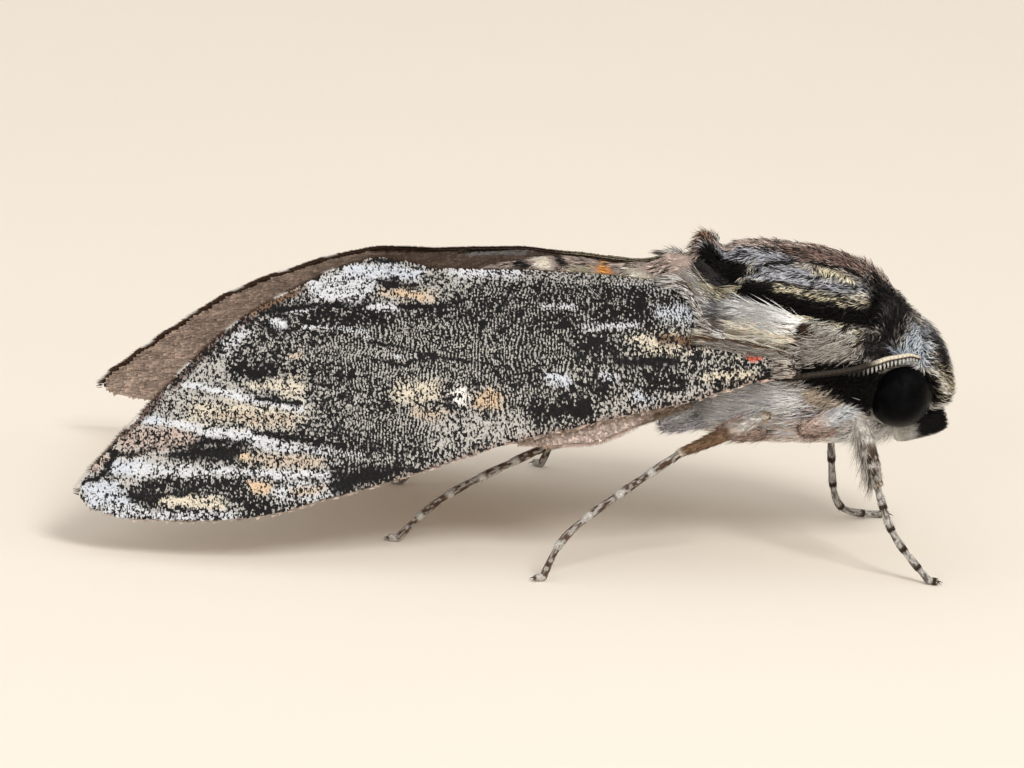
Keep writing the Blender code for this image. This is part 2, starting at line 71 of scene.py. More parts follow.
FOREWING_TRAILING = (
    (APEX, 18.9), (-27, 17.8), (-25, 15), (-22.4, 11.6), (-19.9, 8.5), (-17.4, 6), (-13.6, 3.4),
    (TORNUS, 1.9), (-8.6, 1.3), (-6.6, 1.8), (-4.7, 2.6), (0, 2.9), (6, 2.8), (9, 3.1), (11.1, 3.4),
    (11.7, 4.6), (12.6, 6.5), (14, 7.4), (16, 8.1), (FOREWING_ROOT, 8.8),
)
HINDWING_ROOT, HINDWING_TIP = 13.4, -11.6
HINDWING_DROP = 0.9  # how far the hindwing lies under the forewing
HINDWING_COSTA = (
    (HINDWING_TIP, 13.6), (-11, 15.4), (-8.5, 16.4), (-4, 15.9), (0, 15), (3, 15), (5, 14.9), (7, 14.1),
    (9, 12.6), (HINDWING_ROOT, 11),
)
HINDWING_TRAILING = (
    (HINDWING_TIP, 13), (-11, 10.8), (-8, 8.3), (-3, 7.7), (5, 7.9), (HINDWING_ROOT, 8.9),
)
# Cross-sections of the whole body, front to back: x, top, bottom, half width.
BODY = (
    (28.55, 9.7, 8.5, 0.6), (28.3, 10.9, 8.1, 1.6), (28, 11.8, 7.9, 2.2), (27.4, 12.9, 7.7, 2.9),
    (26.5, 13.9, 7.4, 3.4), (25.3, 15.3, 6.4, 3.8), (24.2, 16.5, 5.7, 4.1), (23, 17.5, 5.4, 5.1),
    (21, 18.35, 5.2, 5.8), (18, 18.85, 5.2, 6), (16.2, 19.05, 5.25, 5.65), (14.9, 19, 5.35, 5.3),
    (13.9, 18.7, 5.5, 4.95), (13.1, 19.1, 5.75, 4.65), (12.6, 19.35, 5.9, 4.2), (11.9, 18.9, 6.2, 3.5),
    (11.2, 18.3, 6.6, 4.3), (10.3, 18.25, 6.6, 4.6), (9, 17.7, 6.6, 4.6), (7, 17.55, 6.8, 4.7),
    (5, 17.85, 7, 4.7), (3, 18.05, 7.2, 4.6), (0, 17.75, 7.8, 4.3), (-3, 16.95, 8.6, 3.8),
    (-6, 15.9, 9.5, 3.15), (-9, 14.5, 10.5, 2.25), (-11, 13.4, 11.3, 1.2), (-11.8, 12.75, 11.95, 0.5),
)
FACE, NECK, WAIST, TAIL = 28.55, 24.2, 11.8, -11.8
CREST = 0.7  # how sharp the abdomen's back is: 0 is round
ABDOMEN_RING = 2.94  # length of one ring of the abdomen
EYE_CENTRE, EYE_RADIUS = (25.15, 2.75, 9.2), 2.15
PALP = (
    (25, 1.2, 6.35, 0.88), (25.7, 1.2, 6.5, 0.94), (26.5, 1.15, 6.7, 0.95), (27.3, 1.1, 6.85, 0.88),
    (27.85, 1.02, 6.98, 0.74),
)
ANTENNA = (
    (26.4, 3.25, 11.65, 0.28), (25.5, 4.15, 12, 0.36), (24.4, 4.95, 12, 0.4), (23.3, 5.75, 11.85, 0.42),
    (22, 6.4, 11.65, 0.43), (20.6, 6.7, 11.5, 0.43), (19.3, 6.75, 11.35, 0.43), (18, 6.6, 11.15, 0.43),
    (16, 6.4, 11.1, 0.42), (13, 6.1, 11, 0.4), (10, 6.3, 10.6, 0.36), (6, 6.9, 10, 0.3),
    (4.4, 7.1, 9.8, 0.25),
)
TEGULA_X, TEGULA_HALF_LENGTH = 19.2, 4.7
TEGULA_ANGLE, TEGULA_HALF_ANGLE = 41.0, 18.0
# Legs: hip, trochanter, knee and ankle. The tarsus leaves the ankle towards the first of its points and comes
# down on the floor at the second. Radii are for the coxa, femur, tibia, and first and last tarsal segments.
LEGS = {
    "foreleg": {
        "points": ((21.4, 2.6, 7.2), (18.3, 5.7, 7.4), (22.2, 6.7, 9.1), (23.56, 7.6, 4.25)),
        "tarsus": ((24.43, 8.3, 1.2), (27.45, 9.1)),
        "radii": (0.8, 0.68, 0.75, 0.33, 0.28),
    },
    "midleg": {
        "points": ((17.2, 2.6, 6.8), (13.1, 4.3, 7), (17, 7.5, 9.2), (10.7, 10, 7.05)),
        "tarsus": ((3.2, 13.8, 2.9), (1.45, 14.7)),
        "radii": (0.85, 0.65, 0.6, 0.34, 0.28),
    },
    "hindleg": {
        "points": ((13.4, 1.9, 7.4), (9.3, 3.3, 7.1), (12.4, 5.9, 9.6), (2.15, 6.4, 6.6)),
        "tarsus": ((-4.6, 6.9, 3.5), (-8, 7.3)),
        "radii": (0.7, 0.6, 0.6, 0.34, 0.28),
    },
}
LEFT_FORELEG = {
    "points": ((21.4, 2.6, 7.2), (18.2, 5.6, 7.2), (20.9, 6.4, 8.8), (21.1, 5.6, 4.2)),
    "tarsus": ((21.25, 5.65, -1), (25, 7.3)),
    "radii": (0.8, 0.68, 0.6, 0.33, 0.28),
}
KNEE_BEND = 0.85  # radius of a leg's bends
LEG_PARTS = ("coxa", "femur", "tibia", "tarsus")
TARSAL_SEGMENTS = 5
TOE_LENGTH, FOOT_LEVEL = 0.6, 0.8  # the level is the foot's middle over the floor, in its own radii
SIDES = {"left": 1, "right": -1}

# ---------------------------------------------------------------- how much of each thing

THINNING = 1  # one hair or scale in this many is grown
FLAKE_SPACING = (0.069, 0.154)
UNDER_SPACING = 0.25
TUFT_PATCH = 0.003  # width of each hair's or scale's patch of the map

# ---------------------------------------------------------------- colours


def linear(red, green, blue):
    """A colour as linear light, from its display values of 0 to 255."""
    return ((np.array((red, green, blue)) / 255 + 0.055) / 1.055) ** 2.4


DISPLAY_COLOURS = {
    "black": (40, 38, 37), "soot": (62, 60, 60), "umber": (96, 74, 60), "brown": (132, 104, 82),
    "plum": (122, 102, 94), "mouse": (160, 154, 148), "dun": (170, 154, 145), "bone": (192, 189, 184),
    "white": (214, 216, 220), "snow": (244, 240, 234), "ice": (204, 209, 218), "frost": (176, 188, 206),
    "steel": (160, 162, 170), "lilac": (214, 213, 222), "rose": (214, 190, 178), "pink": (200, 182, 172),
    "cream": (220, 211, 193), "straw": (204, 193, 166), "tan": (206, 191, 173), "orange": (218, 192, 162),
    "amber": (226, 150, 76), "rust": (196, 92, 74),
}
PALETTE = {name: linear(*display) for name, display in DISPLAY_COLOURS.items()}
DARK_SCALE = linear(24, 22, 23)

# Markings: colour, share of light scales, half width, and points along the middle of the mark. A pair of
# widths runs from the mark's first point to its last. On a wing the points are x and q, the way down the
# roof's slope from the ridge.
WING_MARKS = (
    # broad shades
    ("bone", 0.67, 2.6, ((-24.5, 16.5), (-20, 11.5))),
    ("bone", 0.25, 2.3, ((-12.5, 9), (-4, 8), (8, 8.6))),
    ("bone", 0.19, 1.7, ((-4, 7.4), (2, 5.4), (9.6, 5.4))),
    ("bone", 0.52, 0.75, ((-5, 3.6), (0, 3.4), (10.5, 3.6))),
    ("white", 0.78, 0.5, ((-3.4, 3.3), (0.2, 3.4))),
    ("white", 0.5, 0.35, ((7.2, 4.2), (10.6, 4.6))),
    ("bone", 0.54, (1, 0.5), ((-4.5, 15.2), (0.5, 14.6), (5.5, 13), (11, 11.8), (17.8, 9.8))),
    ("bone", 0.34, 0.9, ((11, 9), (15, 8.9))),
    ("bone", 0.3, 0.5, ((10.8, 10.9), (13.5, 10.9))),
    ("bone", 0.2, 1.1, ((0.2, 8.5), (4.6, 8.2))),
    ("bone", 0.09, 0.6, ((1.8, 7.2), (3.9, 7.3))),
    ("bone", 0.11, (0.5, 0.35), ((13.5, 11), (17.6, 10.4))),
    # apex
    ("ice", 0.84, 1, ((-26.4, 19.2), (-24.8, 20.2))),
    ("ice", 0.88, 0.5, ((-25.3, 17.6), (-23.3, 17.6))),
    ("white", 0.84, (0.5, 0.3), ((-23.5, 17.9), (-15.5, 17.95), (-11.8, 18))),
    ("pink", 0.62, 0.4, ((-26.7, 17.5), (-25.9, 16.8))),
    ("black", 0.1, (0.25, 0.75), ((-21.6, 16.7), (-17.6, 16.5))),
    (
        *("black", 0.05, 0.16),
        ((-27.2, 18.4), (-26.4, 18.3), (-25.8, 17.9), (-25.5, 17.1), (-25.3, 16.7), (-25.6, 16.2)),
    ),
    ("black", 0.05, 0.17, ((-25.4, 16.3), (-24.3, 16.6), (-23.4, 16.3), (-22.1, 15.95), (-20.5, 15.95))),
    ("black", 0.06, 0.24, ((-20.5, 15.95), (-19.2, 15.65), (-16.8, 15.6))),
    ("orange", 0.92, 0.26, ((-17.2, 16.8), (-16.7, 16.8))),
    ("tan", 0.62, 0.5, ((-16.2, 17), (-12.4, 17.1))),
    ("bone", 0.11, 0.42, ((-23, 18.7), (-17, 18.6))),
    ("bone", 0.17, 0.6, ((-19, 19), (-17.4, 19.3))),
    ("black", 0.06, (0.3, 0.45), ((-24.2, 19.6), (-22.6, 19.75))),
    ("black", 0.14, 0.25, ((-22.6, 19.6), (-20, 19.3))),
    ("cream", 0.8, (0.3, 0.5), ((-22.2, 20), (-18.6, 20.15))),
    ("orange", 0.84, 0.5, ((-16.3, 18.9), (-15.7, 18.9))),
    ("bone", 0.07, 0.5, ((-16.8, 20.3), (-15.4, 20.4))),
    ("white", 0.62, 0.3, ((-25.5, 20.5), (-22, 21), (-17.4, 20.9))),
    ("white", 0.72, 0.62, ((-14.4, 19.4), (-11, 18.8))),
    ("tan", 0.62, 0.3, ((-13.8, 19.3), (-12, 18.9))),
    # between the apical line and the second streak
    ("pink", 0.64, 0.8, ((-24.4, 15.5), (-21, 15.2))),
    ("white", 0.92, (0.3, 0.45), ((-23.6, 13.8), (-21.1, 14.4), (-19.2, 15), (-16.8, 15.15), (-15.2, 15.9))),
    ("white", 0.62, 0.35, ((-15.2, 16), (-12, 16.3), (-9.5, 16.4))),
    ("ice", 0.96, 0.3, ((-24, 13.6), (-22.6, 13.9))),
    ("cream", 0.68, (0.8, 1), ((-20, 13.4), (-14.2, 13.8))),
    ("tan", 0.67, 0.4, ((-18.6, 13.7), (-14.3, 14.2))),
    ("black", 0.08, 0.13, ((-16.4, 15.1), (-14.2, 15.4), (-11.8, 15.75), (-8, 16))),
    ("white", 0.9, (0.22, 0.36), ((-21, 11.1), (-18.6, 11.9), (-16.8, 12.55), (-13.6, 13.2))),
    ("cream", 0.86, (0.5, 0.7), ((-16.4, 11.3), (-14, 11.7))),
    ("black", 0.08, 0.15, ((-16.3, 12.45), (-15, 12.75), (-13.6, 12.95))),
    # outer margin
    ("plum", 0.28, 0.32, ((-21.6, 11.1), (-20, 9.1), (-18.6, 7.6), (-17, 6.2))),
    ("plum", 0.42, 0.3, ((-24.7, 14.9), (-22.5, 12.2))),
    ("bone", 0.08, (0.6, 0.75), ((-17.7, 10.2), (-15.6, 10.4))),
    ("white", 0.67, 0.5, ((-18.4, 8.4), (-17.2, 7.3))),
    ("black", 0.05, 0.24, ((-18.7, 8.7),)),
    ("black", 0.05, 0.2, ((-19.35, 8.95),)),
    ("bone", 0.36, 0.5, ((-16.6, 8.2), (-14.4, 7.9))),
    ("brown", 0.58, 0.34, ((-16.6, 5.6), (-13.4, 3.8))),
    # the black band above the tornus
    ("bone", 0.06, (0.75, 0.8), ((-13, 6.4), (-8.8, 6.4))),
    ("black", 0.04, 0.2, ((-16, 5.75), (-13, 5.35), (-8.5, 5.35))),
    ("black", 0.06, 0.85, ((-14.9, 6.5),)),
    ("white", 0.92, 0.42, ((-15.1, 6.4), (-14.75, 6.7))),
    ("white", 0.77, 0.12, ((-14.4, 5.8), (-13.2, 5.8))),
    ("white", 0.72, 0.14, ((-13.4, 7.05), (-11.9, 7.15))),
    ("white", 0.52, 0.2, ((-11.5, 7.2), (-9.3, 7.6))),
    ("bone", 0.38, 0.8, ((-13.8, 8.8), (-8.5, 8.9))),
    ("tan", 0.74, 0.32, ((-14.1, 9.3), (-13.7, 9.3))),
    # tornus
    ("white", 0.84, 1.05, ((-12.4, 3.8), (-9.2, 3.3))),
    ("white", 0.86, 0.62, ((-11.9, 4.4), (-10, 4.6))),
    ("white", 0.84, 0.3, ((-8.9, 5.6), (-7.4, 5.8))),
    ("black", 0.29, 0.2, ((-8.9, 1.7), (-7, 1.9))),
    ("ice", 0.93, 0.55, ((-10.2, 2.6), (-8.2, 2.8), (-6.2, 3.2))),
    ("black", 0.12, 0.25, ((-8.5, 3.6), (-6.4, 4.2))),
    ("black", 0.04, 0.22, ((-7.5, 3.4),)),
    ("tan", 0.78, (0.42, 0.5), ((-8.2, 4.5), (-5.2, 5.2))),
    ("orange", 0.78, 0.25, ((-7.4, 4.6), (-5.8, 5.1))),
    ("black", 0.05, 0.16, ((-7.25, 5.75), (-4.1, 6.05))),
    # the cell
    ("bone", 0.22, 1, ((-10.8, 15.4), (-7.4, 15.6))),
    ("bone", 0.1, 0.8, ((-0.9, 10.7), (1.7, 10.7))),
    ("black", 0.07, 0.1, ((-9, 8.4), (-7.25, 8.8), (-6.75, 9.1), (-4.75, 9.75), (-2.75, 10.2), (-1.2, 10.4))),
    ("black", 0.07, 0.1, ((-8.9, 9.7), (-6.8, 10.3))),
    ("white", 0.62, 0.16, ((-9.3, 8), (-9.1, 8))),
    ("white", 0.62, 0.15, ((-7.35, 9.6), (-7.1, 9.6))),
    ("cream", 0.64, 0.8, ((-7, 12.2), (-4.9, 12.3))),
    ("orange", 0.58, 0.6, ((-2, 12.9), (-1.1, 12.7))),
    ("tan", 0.67, 0.42, ((-6, 13.6), (-4, 13.7))),
    ("bone", 0.02, 0.85, ((-3.35, 12.6),)),
    ("black", 0.03, 0.28, ((-3.6, 13), (-4, 13.25))),
    ("snow", 1, 0.5, ((-3.3, 12.35), (-3.2, 12.6))),
    ("bone", 0.02, (0.82, 0.7), ((1.6, 13.6), (4.4, 13.1))),
    ("black", 0.06, (0.75, 0.3), ((-10.6, 18.6), (-9.6, 18.1), (-7, 17.5))),
    ("bone", 0.68, 0.7, ((-3.6, 14.4), (0.4, 14.3))),
    # towards the root
    ("bone", 0.08, 0.6, ((4.9, 9.2), (6.3, 9.2))),
    ("bone", 0.09, 0.7, ((6.6, 5.2), (8.4, 5))),
    ("bone", 0.06, 0.95, ((6.4, 6.7), (8, 6.6))),
    ("white", 0.72, 0.24, ((2.1, 6.2), (4, 6.2))),
    ("white", 0.68, 0.26, ((4.9, 7.9), (8, 7.6))),
    ("ice", 0.62, 0.7, ((9.8, 6.7), (12.3, 6.7))),
    ("cream", 0.46, 0.9, ((8.6, 8.9), (12, 8.6), (17, 9))),
    ("cream", 0.88, 0.42, ((7.9, 8.7), (9.3, 8.8))),
    ("brown", 0.62, 0.32, ((9.6, 8.55), (12, 8.5), (14.5, 8.6))),
    ("umber", 0.25, 0.14, ((11, 8.9), (14.4, 8.85))),
    ("ice", 0.74, 0.42, ((2.5, 11.3), (3.5, 11.5))),
    ("ice", 0.76, 0.32, ((6, 11.2), (6.6, 11.3))),
    ("ice", 0.72, 0.34, ((8, 12.2), (9, 12.1))),
    ("bone", 0.07, 0.5, ((5.3, 11.8), (6.2, 11.9))),
    ("bone", 0.08, 0.6, ((9, 11.4), (10.6, 11.2))),
    ("black", 0.18, 0.3, ((7, 10.2), (10.5, 10))),
    ("cream", 0.72, 0.25, ((12.5, 10.9), (15.5, 10.4))),
    ("rust", 1, 0.22, ((15.3, 9.6), (16, 9.55))),
)
# Where the speckle runs in fine waves across the wing: strength, half width and points.
WING_WAVES = (
    (1, 2.6, ((-9.5, 9.4), (-1, 9.2), (2, 9))),
    (1, 1.2, ((-9.9, 14.7), (-6, 14.7))),
    (1, 0.8, ((-0.9, 12.9), (1.8, 12.8))),
    (0.8, 2.2, ((-1, 6.2), (9.5, 5.6))),
    (0.8, 1.2, ((-10.5, 17), (-8, 16.6))),
    (0.6, 1, ((-14.5, 8), (-10, 11.5))),
)
# On the body the points are x and the angle from the top.
BODY_MARKS = (
    ("dun", 0.62, 9, ((-12, 30), (3, 30))),
    ("rose", 0.85, 3.2, ((-8, 160), (8, 160), (22, 160))),
    ("dun", 0.6, 1.7, ((12.2, 6), (23.4, 8))),
    ("plum", 0.62, 0.8, ((18.2, 12), (22.6, 9))),
    ("steel", 0.66, 0.9, ((13.6, 18), (17.6, 22))),
    # the shoulder flap and what edges it
    ("steel", 0.6, 1, ((15.4, 38), (19, 40), (22.8, 38))),
    ("steel", 0.4, 0.45, ((21.8, 40), (23, 38))),
    ("straw", 0.54, 0.36, ((15.7, 47), (18.5, 49.5), (21.3, 51), (23, 46))),
    ("cream", 0.56, 0.26, ((22.2, 49), (23.1, 42))),
    ("black", 0.12, 0.16, ((15.5, 36.5), (18, 27.5), (19.4, 22), (22.2, 20.5), (23.6, 26))),
    ("straw", 0.55, 0.45, ((19.9, 30), (21.8, 31))),
    ("black", 0.25, 0.1, ((16.6, 43), (19, 45), (21.8, 45.5))),
    # Black hair under the flap's lower edge, with the painted shadow that the flap casts.
    ("black", 0.02, (0.55, 0.6), ((14.7, 44.5), (15.8, 51.5), (18, 56), (20, 59.5), (22, 59.5), (23.4, 55))),
    ("black", 0.08, 0.5, ((23.5, 56), (24, 42), (24.3, 28), (24.1, 14))),
    ("soot", 0.3, 0.6, ((24.6, 14), (24.9, 45), (24.6, 62))),
    # the side below it
    ("mouse", 0.7, 1.1, ((19.6, 77), (22.6, 77))),
    ("soot", 0.36, 0.8, ((23.6, 74), (24.8, 78))),
    ("straw", 0.72, 0.42, ((18.7, 64.5), (20.5, 67), (22.6, 69.5))),
    ("snow", 0.97, (0.42, 0.34), ((12.6, 66), (14.2, 60), (15.2, 59.5), (16.6, 61.5), (18.6, 63))),
    ("plum", 0.3, 0.12, ((12.8, 71), (14.2, 68), (16, 66.8), (18.6, 67))),
    ("cream", 0.86, 0.46, ((15.2, 72), (16.8, 71), (18.1, 71.5))),
    ("umber", 0.3, 0.3, ((18.6, 70.5), (18.8, 76))),
    ("umber", 0.35, 0.25, ((16.6, 81), (19, 79))),
    # Black hair behind the eye, with painted shade beneath the antenna.
    ("black", 0.02, (0.65, 1.7), ((18.7, 93), (20.5, 96), (22.6, 101), (24.3, 106))),
    ("lilac", 0.97, (2.4, 1.3), ((9, 142), (12, 134), (15, 120), (18.6, 112))),
    ("black", 0.02, 0.7, ((23.9, 112), (24.3, 122))),
    # the tuft at the thorax's rear, with its black spot
    ("steel", 0.6, 0.7, ((12.6, 22), (15, 23))),
    ("brown", 0.55, 0.6, ((12.3, 6), (12.9, 12))),
    ("black", 0.02, (0.7, 0.85), ((12.9, 28), (13.9, 29), (14.7, 37))),
    ("cream", 0.78, 0.24, ((15.7, 27), (15.4, 36), (14.3, 47))),
    ("straw", 0.58, 0.75, ((12.4, 52), (13.9, 55))),
    # head
    ("bone", 0.9, 2.2, ((23.2, 150), (27, 160))),
    ("frost", 0.74, 1, ((26.1, 72), (26.8, 56), (27.2, 38))),
    ("steel", 0.5, 0.8, ((27.2, 30), (27.6, 10))),
    ("soot", 0.35, 0.6, ((25.4, 10), (25.6, 28))),
    ("straw", 0.42, 0.8, ((27.9, 40), (28.1, 80), (28.2, 120))),
    ("soot", 0.34, 0.5, ((27.6, 15), (27.8, 60))),
    ("black", 0.02, 0.24, ((27, 86), (27.3, 98), (27.4, 115), (27.2, 140))),
    ("cream", 0.9, 0.18, ((26.5, 77), (27.3, 80), (27.8, 92), (27.95, 112))),
    # abdomen
    ("white", 0.8, 0.5, ((-1.8, 14), (-0.4, 22))),
    ("black", 0.1, 0.3, ((0.6, 4), (1, 28))),
    ("cream", 0.85, 0.5, ((1.9, 4), (2.2, 24))),
    ("black", 0.15, 0.28, ((3.2, 4), (3.4, 14))),
    ("straw", 0.6, 0.7, ((4, 22), (4.8, 20))),
    ("amber", 0.8, (0.4, 0.6), ((6, 8), (6.1, 24))),
    ("cream", 0.6, 0.7, ((7.6, 10), (8.4, 24))),
    ("rose", 0.6, 1, ((9.4, 10), (11.4, 14))),
)
ANGLE_SPAN = 0.105  # millimetres of skin for each degree round the body

# The lie of the body's coat: length, lift off the skin in degrees, fall (0 lies towards the tail, 90 down the
# side and 180 towards the head) and curl, with half width and points as above.
COAT = (0.62, 24.0, 10.0, 0.25)
COAT_LIE = (
    ((0.6, 22, 4, 0.25), 9, ((-12, 60), (4, 60))),
    ((0.9, 18, 0, 0.2), 3, ((2, 165), (22, 165))),
    ((0.72, 26, 12, 0.15), 1.8, ((14.4, 0), (23, 0))),
    ((0.62, 18, 18, 0.12), 1.6, ((15, 42), (23, 42))),
    ((0.7, 16, 76, 0.1), 0.6, ((19.8, 30), (21.9, 31))),
    ((0.7, 22, 22, 0.3), 0.7, ((15.6, 55), (20, 61), (23.2, 56))),
    ((0.8, 30, 38, 0.8), 1.2, ((19.4, 76), (23.8, 76))),
    ((0.8, 28, 50, 0.7), 1, ((19.6, 97), (23.4, 98))),
    ((1.5, 12, 2, 0.15), 1.2, ((12, 124), (15, 114), (18.4, 108))),
    ((2, 8, -2, 0.06), 0.45, ((13.4, 63), (16.6, 62), (19, 64))),
    ((1.6, 12, 0, 0.1), 0.5, ((15.2, 72), (18.8, 72))),
    ((2.1, 36, -2, 0.15), 0.55, ((18.5, 80), (18.8, 92))),
    ((1, 50, -28, 0.3), 0.9, ((12.3, 4), (13.2, 24))),
    ((0.6, 18, 30, 0.1), 0.7, ((13.2, 33), (14.6, 39))),
    ((0.8, 26, 62, 0.1), 0.5, ((15.7, 24), (15.4, 36), (14.3, 47))),
    ((0.75, 44, 20, 0.3), 0.7, ((23.7, 0), (24.2, 40), (23.8, 60))),
    ((0.75, 36, -40, 0.3), 0.9, ((24.9, 66), (25.4, 40))),
    ((0.7, 36, -120, 0.3), 0.9, ((25.8, 66), (26.3, 40))),
    ((0.6, 46, 150, 0.3), 1, ((25.6, 0), (26.8, 14))),
    ((0.85, 50, 180, 0.3), 1.3, ((27.9, 20), (28.2, 160))),
    ((1.2, 42, 0, 0.15), 1.5, ((23.4, 150), (25.6, 160))),
)
CLUMP_TURN, CLUMP_LIFT = 22.0, 0.5  # how far clumps turn, in degrees, and their change of lift
# Locks that stand out of the coat on each side: colour, shade, hairs, length, lift, fall and spread, with
# their roots along points of x and angle.
LOCKS = (
    ("snow", 2, 1300, 2.4, 12, 0, 0.14, ((19.2, 66.5), (18.2, 65.5), (16.8, 64), (15.2, 62))),
    ("snow", 2, 300, 2.6, 10, 2, 0.2, ((14.6, 60), (13.4, 62))),
    ("snow", 2, 900, 1.9, 24, 0, 0.16, ((18.5, 70.5), (16.8, 71.5), (16, 73))),
    ("cream", 2.2, 600, 1.8, 26, 2, 0.16, ((18.5, 74), (16.6, 75.5))),
    ("umber", 0.5, 240, 0.9, 32, 4, 0.12, ((19.4, 68.5), (19.2, 74))),
    ("plum", 0.5, 120, 1.6, 22, 0, 0.05, ((18.7, 68.3), (16.6, 68.6))),
    ("tan", 1.8, 520, 2.2, 34, 0, 0.16, ((18.6, 78), (16.6, 75), (15, 73))),
    ("bone", 1.6, 450, 2.7, 9, 0, 0.25, ((13.6, 57), (13.2, 61), (13, 68))),
    ("mouse", 1.4, 500, 1.5, 42, 0, 0.16, ((18.7, 80), (18.8, 100))),
    ("black", 0.6, 200, 1.4, 40, 0, 0.2, ((18.7, 80), (18.8, 100))),
    ("mouse", 1.3, 400, 1.3, 34, 4, 0.3, ((19.8, 78), (19.6, 88))),
    # Black locks under the flap's lower edge, with the painted shadow that the flap casts.
    ("black", 0.3, 700, 0.9, 30, 4, 0.2, ((15.2, 49), (17, 54.5), (19.4, 58.5), (22, 59.5), (23.4, 56))),
    # Black locks behind the eye, with painted shade beneath the antenna.
    ("black", 0.3, 900, 1.2, 26, 4, 0.35, ((24.2, 92), (22, 93), (20.4, 93), (19.4, 95))),
    ("black", 0.25, 900, 0.9, 26, 4, 0.55, ((24.3, 106), (23.8, 114), (23.2, 110), (22.2, 106))),
    ("mouse", 1.4, 260, 1.4, 40, 24, 0.3, ((22.2, 78), (20.2, 80))),
    ("straw", 0.8, 320, 2, 12, 8, 0.3, ((14.8, 50), (13.9, 53), (13.2, 57))),
    ("soot", 0.8, 420, 1.5, 18, 10, 0.3, ((13.7, 42), (13, 47))),
    ("black", 0.3, 460, 0.7, 12, 0, 0.3, ((15, 66), (13.8, 66), (12.9, 62))),
    ("black", 0.3, 520, 0.8, 26, 14, 0.3, ((14.8, 36), (13.9, 29), (13, 28))),
    ("bone", 1.1, 220, 1.1, 26, 26, 0.2, ((19.6, 66.5), (22.6, 71))),
    ("steel", 0.7, 260, 1.4, 22, 18, 0.3, ((15, 56), (13.6, 64))),
    ("lilac", 2, 1300, 2.3, 16, -4, 0.5, ((18.6, 108), (15, 114), (12.3, 120))),
    ("lilac", 2.2, 700, 2, 14, -6, 0.5, ((16, 126), (12.3, 136))),
    ("rose", 1.4, 350, 1.5, 16, 0, 1, ((22.6, 134), (17, 140), (12.3, 142))),
    ("lilac", 1.6, 400, 1.6, 16, 0, 1, ((22, 130), (17, 138), (12.3, 142))),
    ("tan", 1, 300, 1.2, 26, 20, 0.25, ((22.3, 120), (20.6, 111), (19.6, 106))),
)

# ---------------------------------------------------------------- number tools


def curve_through(points):
    """A smooth function of x through (x, value) pairs, which never overshoots them."""
    xs, ys = np.array(sorted(points), float).T
    steps = np.diff(xs)
    slopes = np.diff(ys) / steps
    tangents = np.append(slopes, slopes[-1])
    before, after = slopes[:-1], slopes[1:]
    level = before * after <= 0
    tangents[1:-1] = np.where(level, 0.0, 2 * before * after / np.where(level, 1.0, before + after))

    def value(x):
        x = np.clip(x, xs[0], xs[-1])
        i = np.clip(np.searchsorted(xs, x) - 1, 0, len(steps) - 1)
        t = (x - xs[i]) / steps[i]
        rise = ys[i] * (1 + 2 * t) * (1 - t) ** 2 + ys[i + 1] * t * t * (3 - 2 * t)
        return rise + steps[i] * (tangents[i] * t * (1 - t) ** 2 - tangents[i + 1] * t * t * (1 - t))

    return value


def curves_of(table):
    """Smooth functions of a table's first column, one for each of its other columns."""
    first, *others = zip(*table)
    return [curve_through(list(zip(first, column))) for column in others]


def smooth_line(points, count):
    """A smooth line through points, with all their columns."""
    curves = curves_of([(k, *point) for k, point in enumerate(points)])
    t = np.linspace(0, len(points) - 1, count)
    return np.stack([curve(t) for curve in curves], axis=1)


def way_along(line):
    """The length gone by at each point of a line."""
    return np.concatenate(([0], np.cumsum(np.linalg.norm(np.diff(line, axis=0), axis=1))))


def between(t, ts, rows):
    """Rows of numbers known at ts, read off in a straight line between them at each t."""
    return np.stack([np.interp(t, ts, column) for column in np.transpose(rows)], axis=1)


def smooth_step(low, high, value):
    t = np.clip((value - low) / (high - low), 0.0, 1.0)
    return t * t * (3 - 2 * t)


def bell(distance, width):
    """1 at no distance, and falling off smoothly over this width."""
    return np.exp(-((distance / width) ** 2))


def lattice(i, j, seed):
    """A fixed random number from 0 to 1 for each pair of whole numbers."""
    mixed = (i.astype(np.int64) * 374761393 + j.astype(np.int64) * 668265263 + seed * 974634777) & 0xFFFFFFFF
    mixed = ((mixed ^ (mixed >> 13)) * 1274126177) & 0xFFFFFFFF
    return ((mixed ^ (mixed >> 16)) & 0xFFFF) / 65535.0


def noise(u, v, seed):
    """Smooth noise from 0 to 1 that changes over a distance of about 1."""
    i, j = np.floor(u), np.floor(v)
    fu, fv = u - i, v - j
    fu, fv = fu * fu * (3 - 2 * fu), fv * fv * (3 - 2 * fv)
    near = lattice(i, j, seed) * (1 - fu) + lattice(i + 1, j, seed) * fu
    far = lattice(i, j + 1, seed) * (1 - fu) + lattice(i + 1, j + 1, seed) * fu
    return near * (1 - fv) + far * fv


def ranked(values):
    """The share of all the values that are lower than each of them."""
    shares = np.empty(len(values))
    shares[np.argsort(values)] = np.arange(len(values)) / len(values)
    return shares


def unit(vectors):
    return vectors / np.maximum(np.linalg.norm(vectors, axis=-1, keepdims=True), 1e-12)


def turned(start, end, angle):
    """Unit ways turned by this angle from start towards end, which are square to each other."""
    return unit(start * np.cos(angle)[:, None] + end * np.sin(angle)[:, None])


def grid(rows, columns):
    """All pairs from two lists of numbers, as two long lists."""
    return (values.ravel() for values in np.meshgrid(rows, columns, indexing="ij"))


def blend(start, end, share):
    """Rows of numbers, each moved this share of the way from start to end."""
    return start + (end - start) * share[:, None]


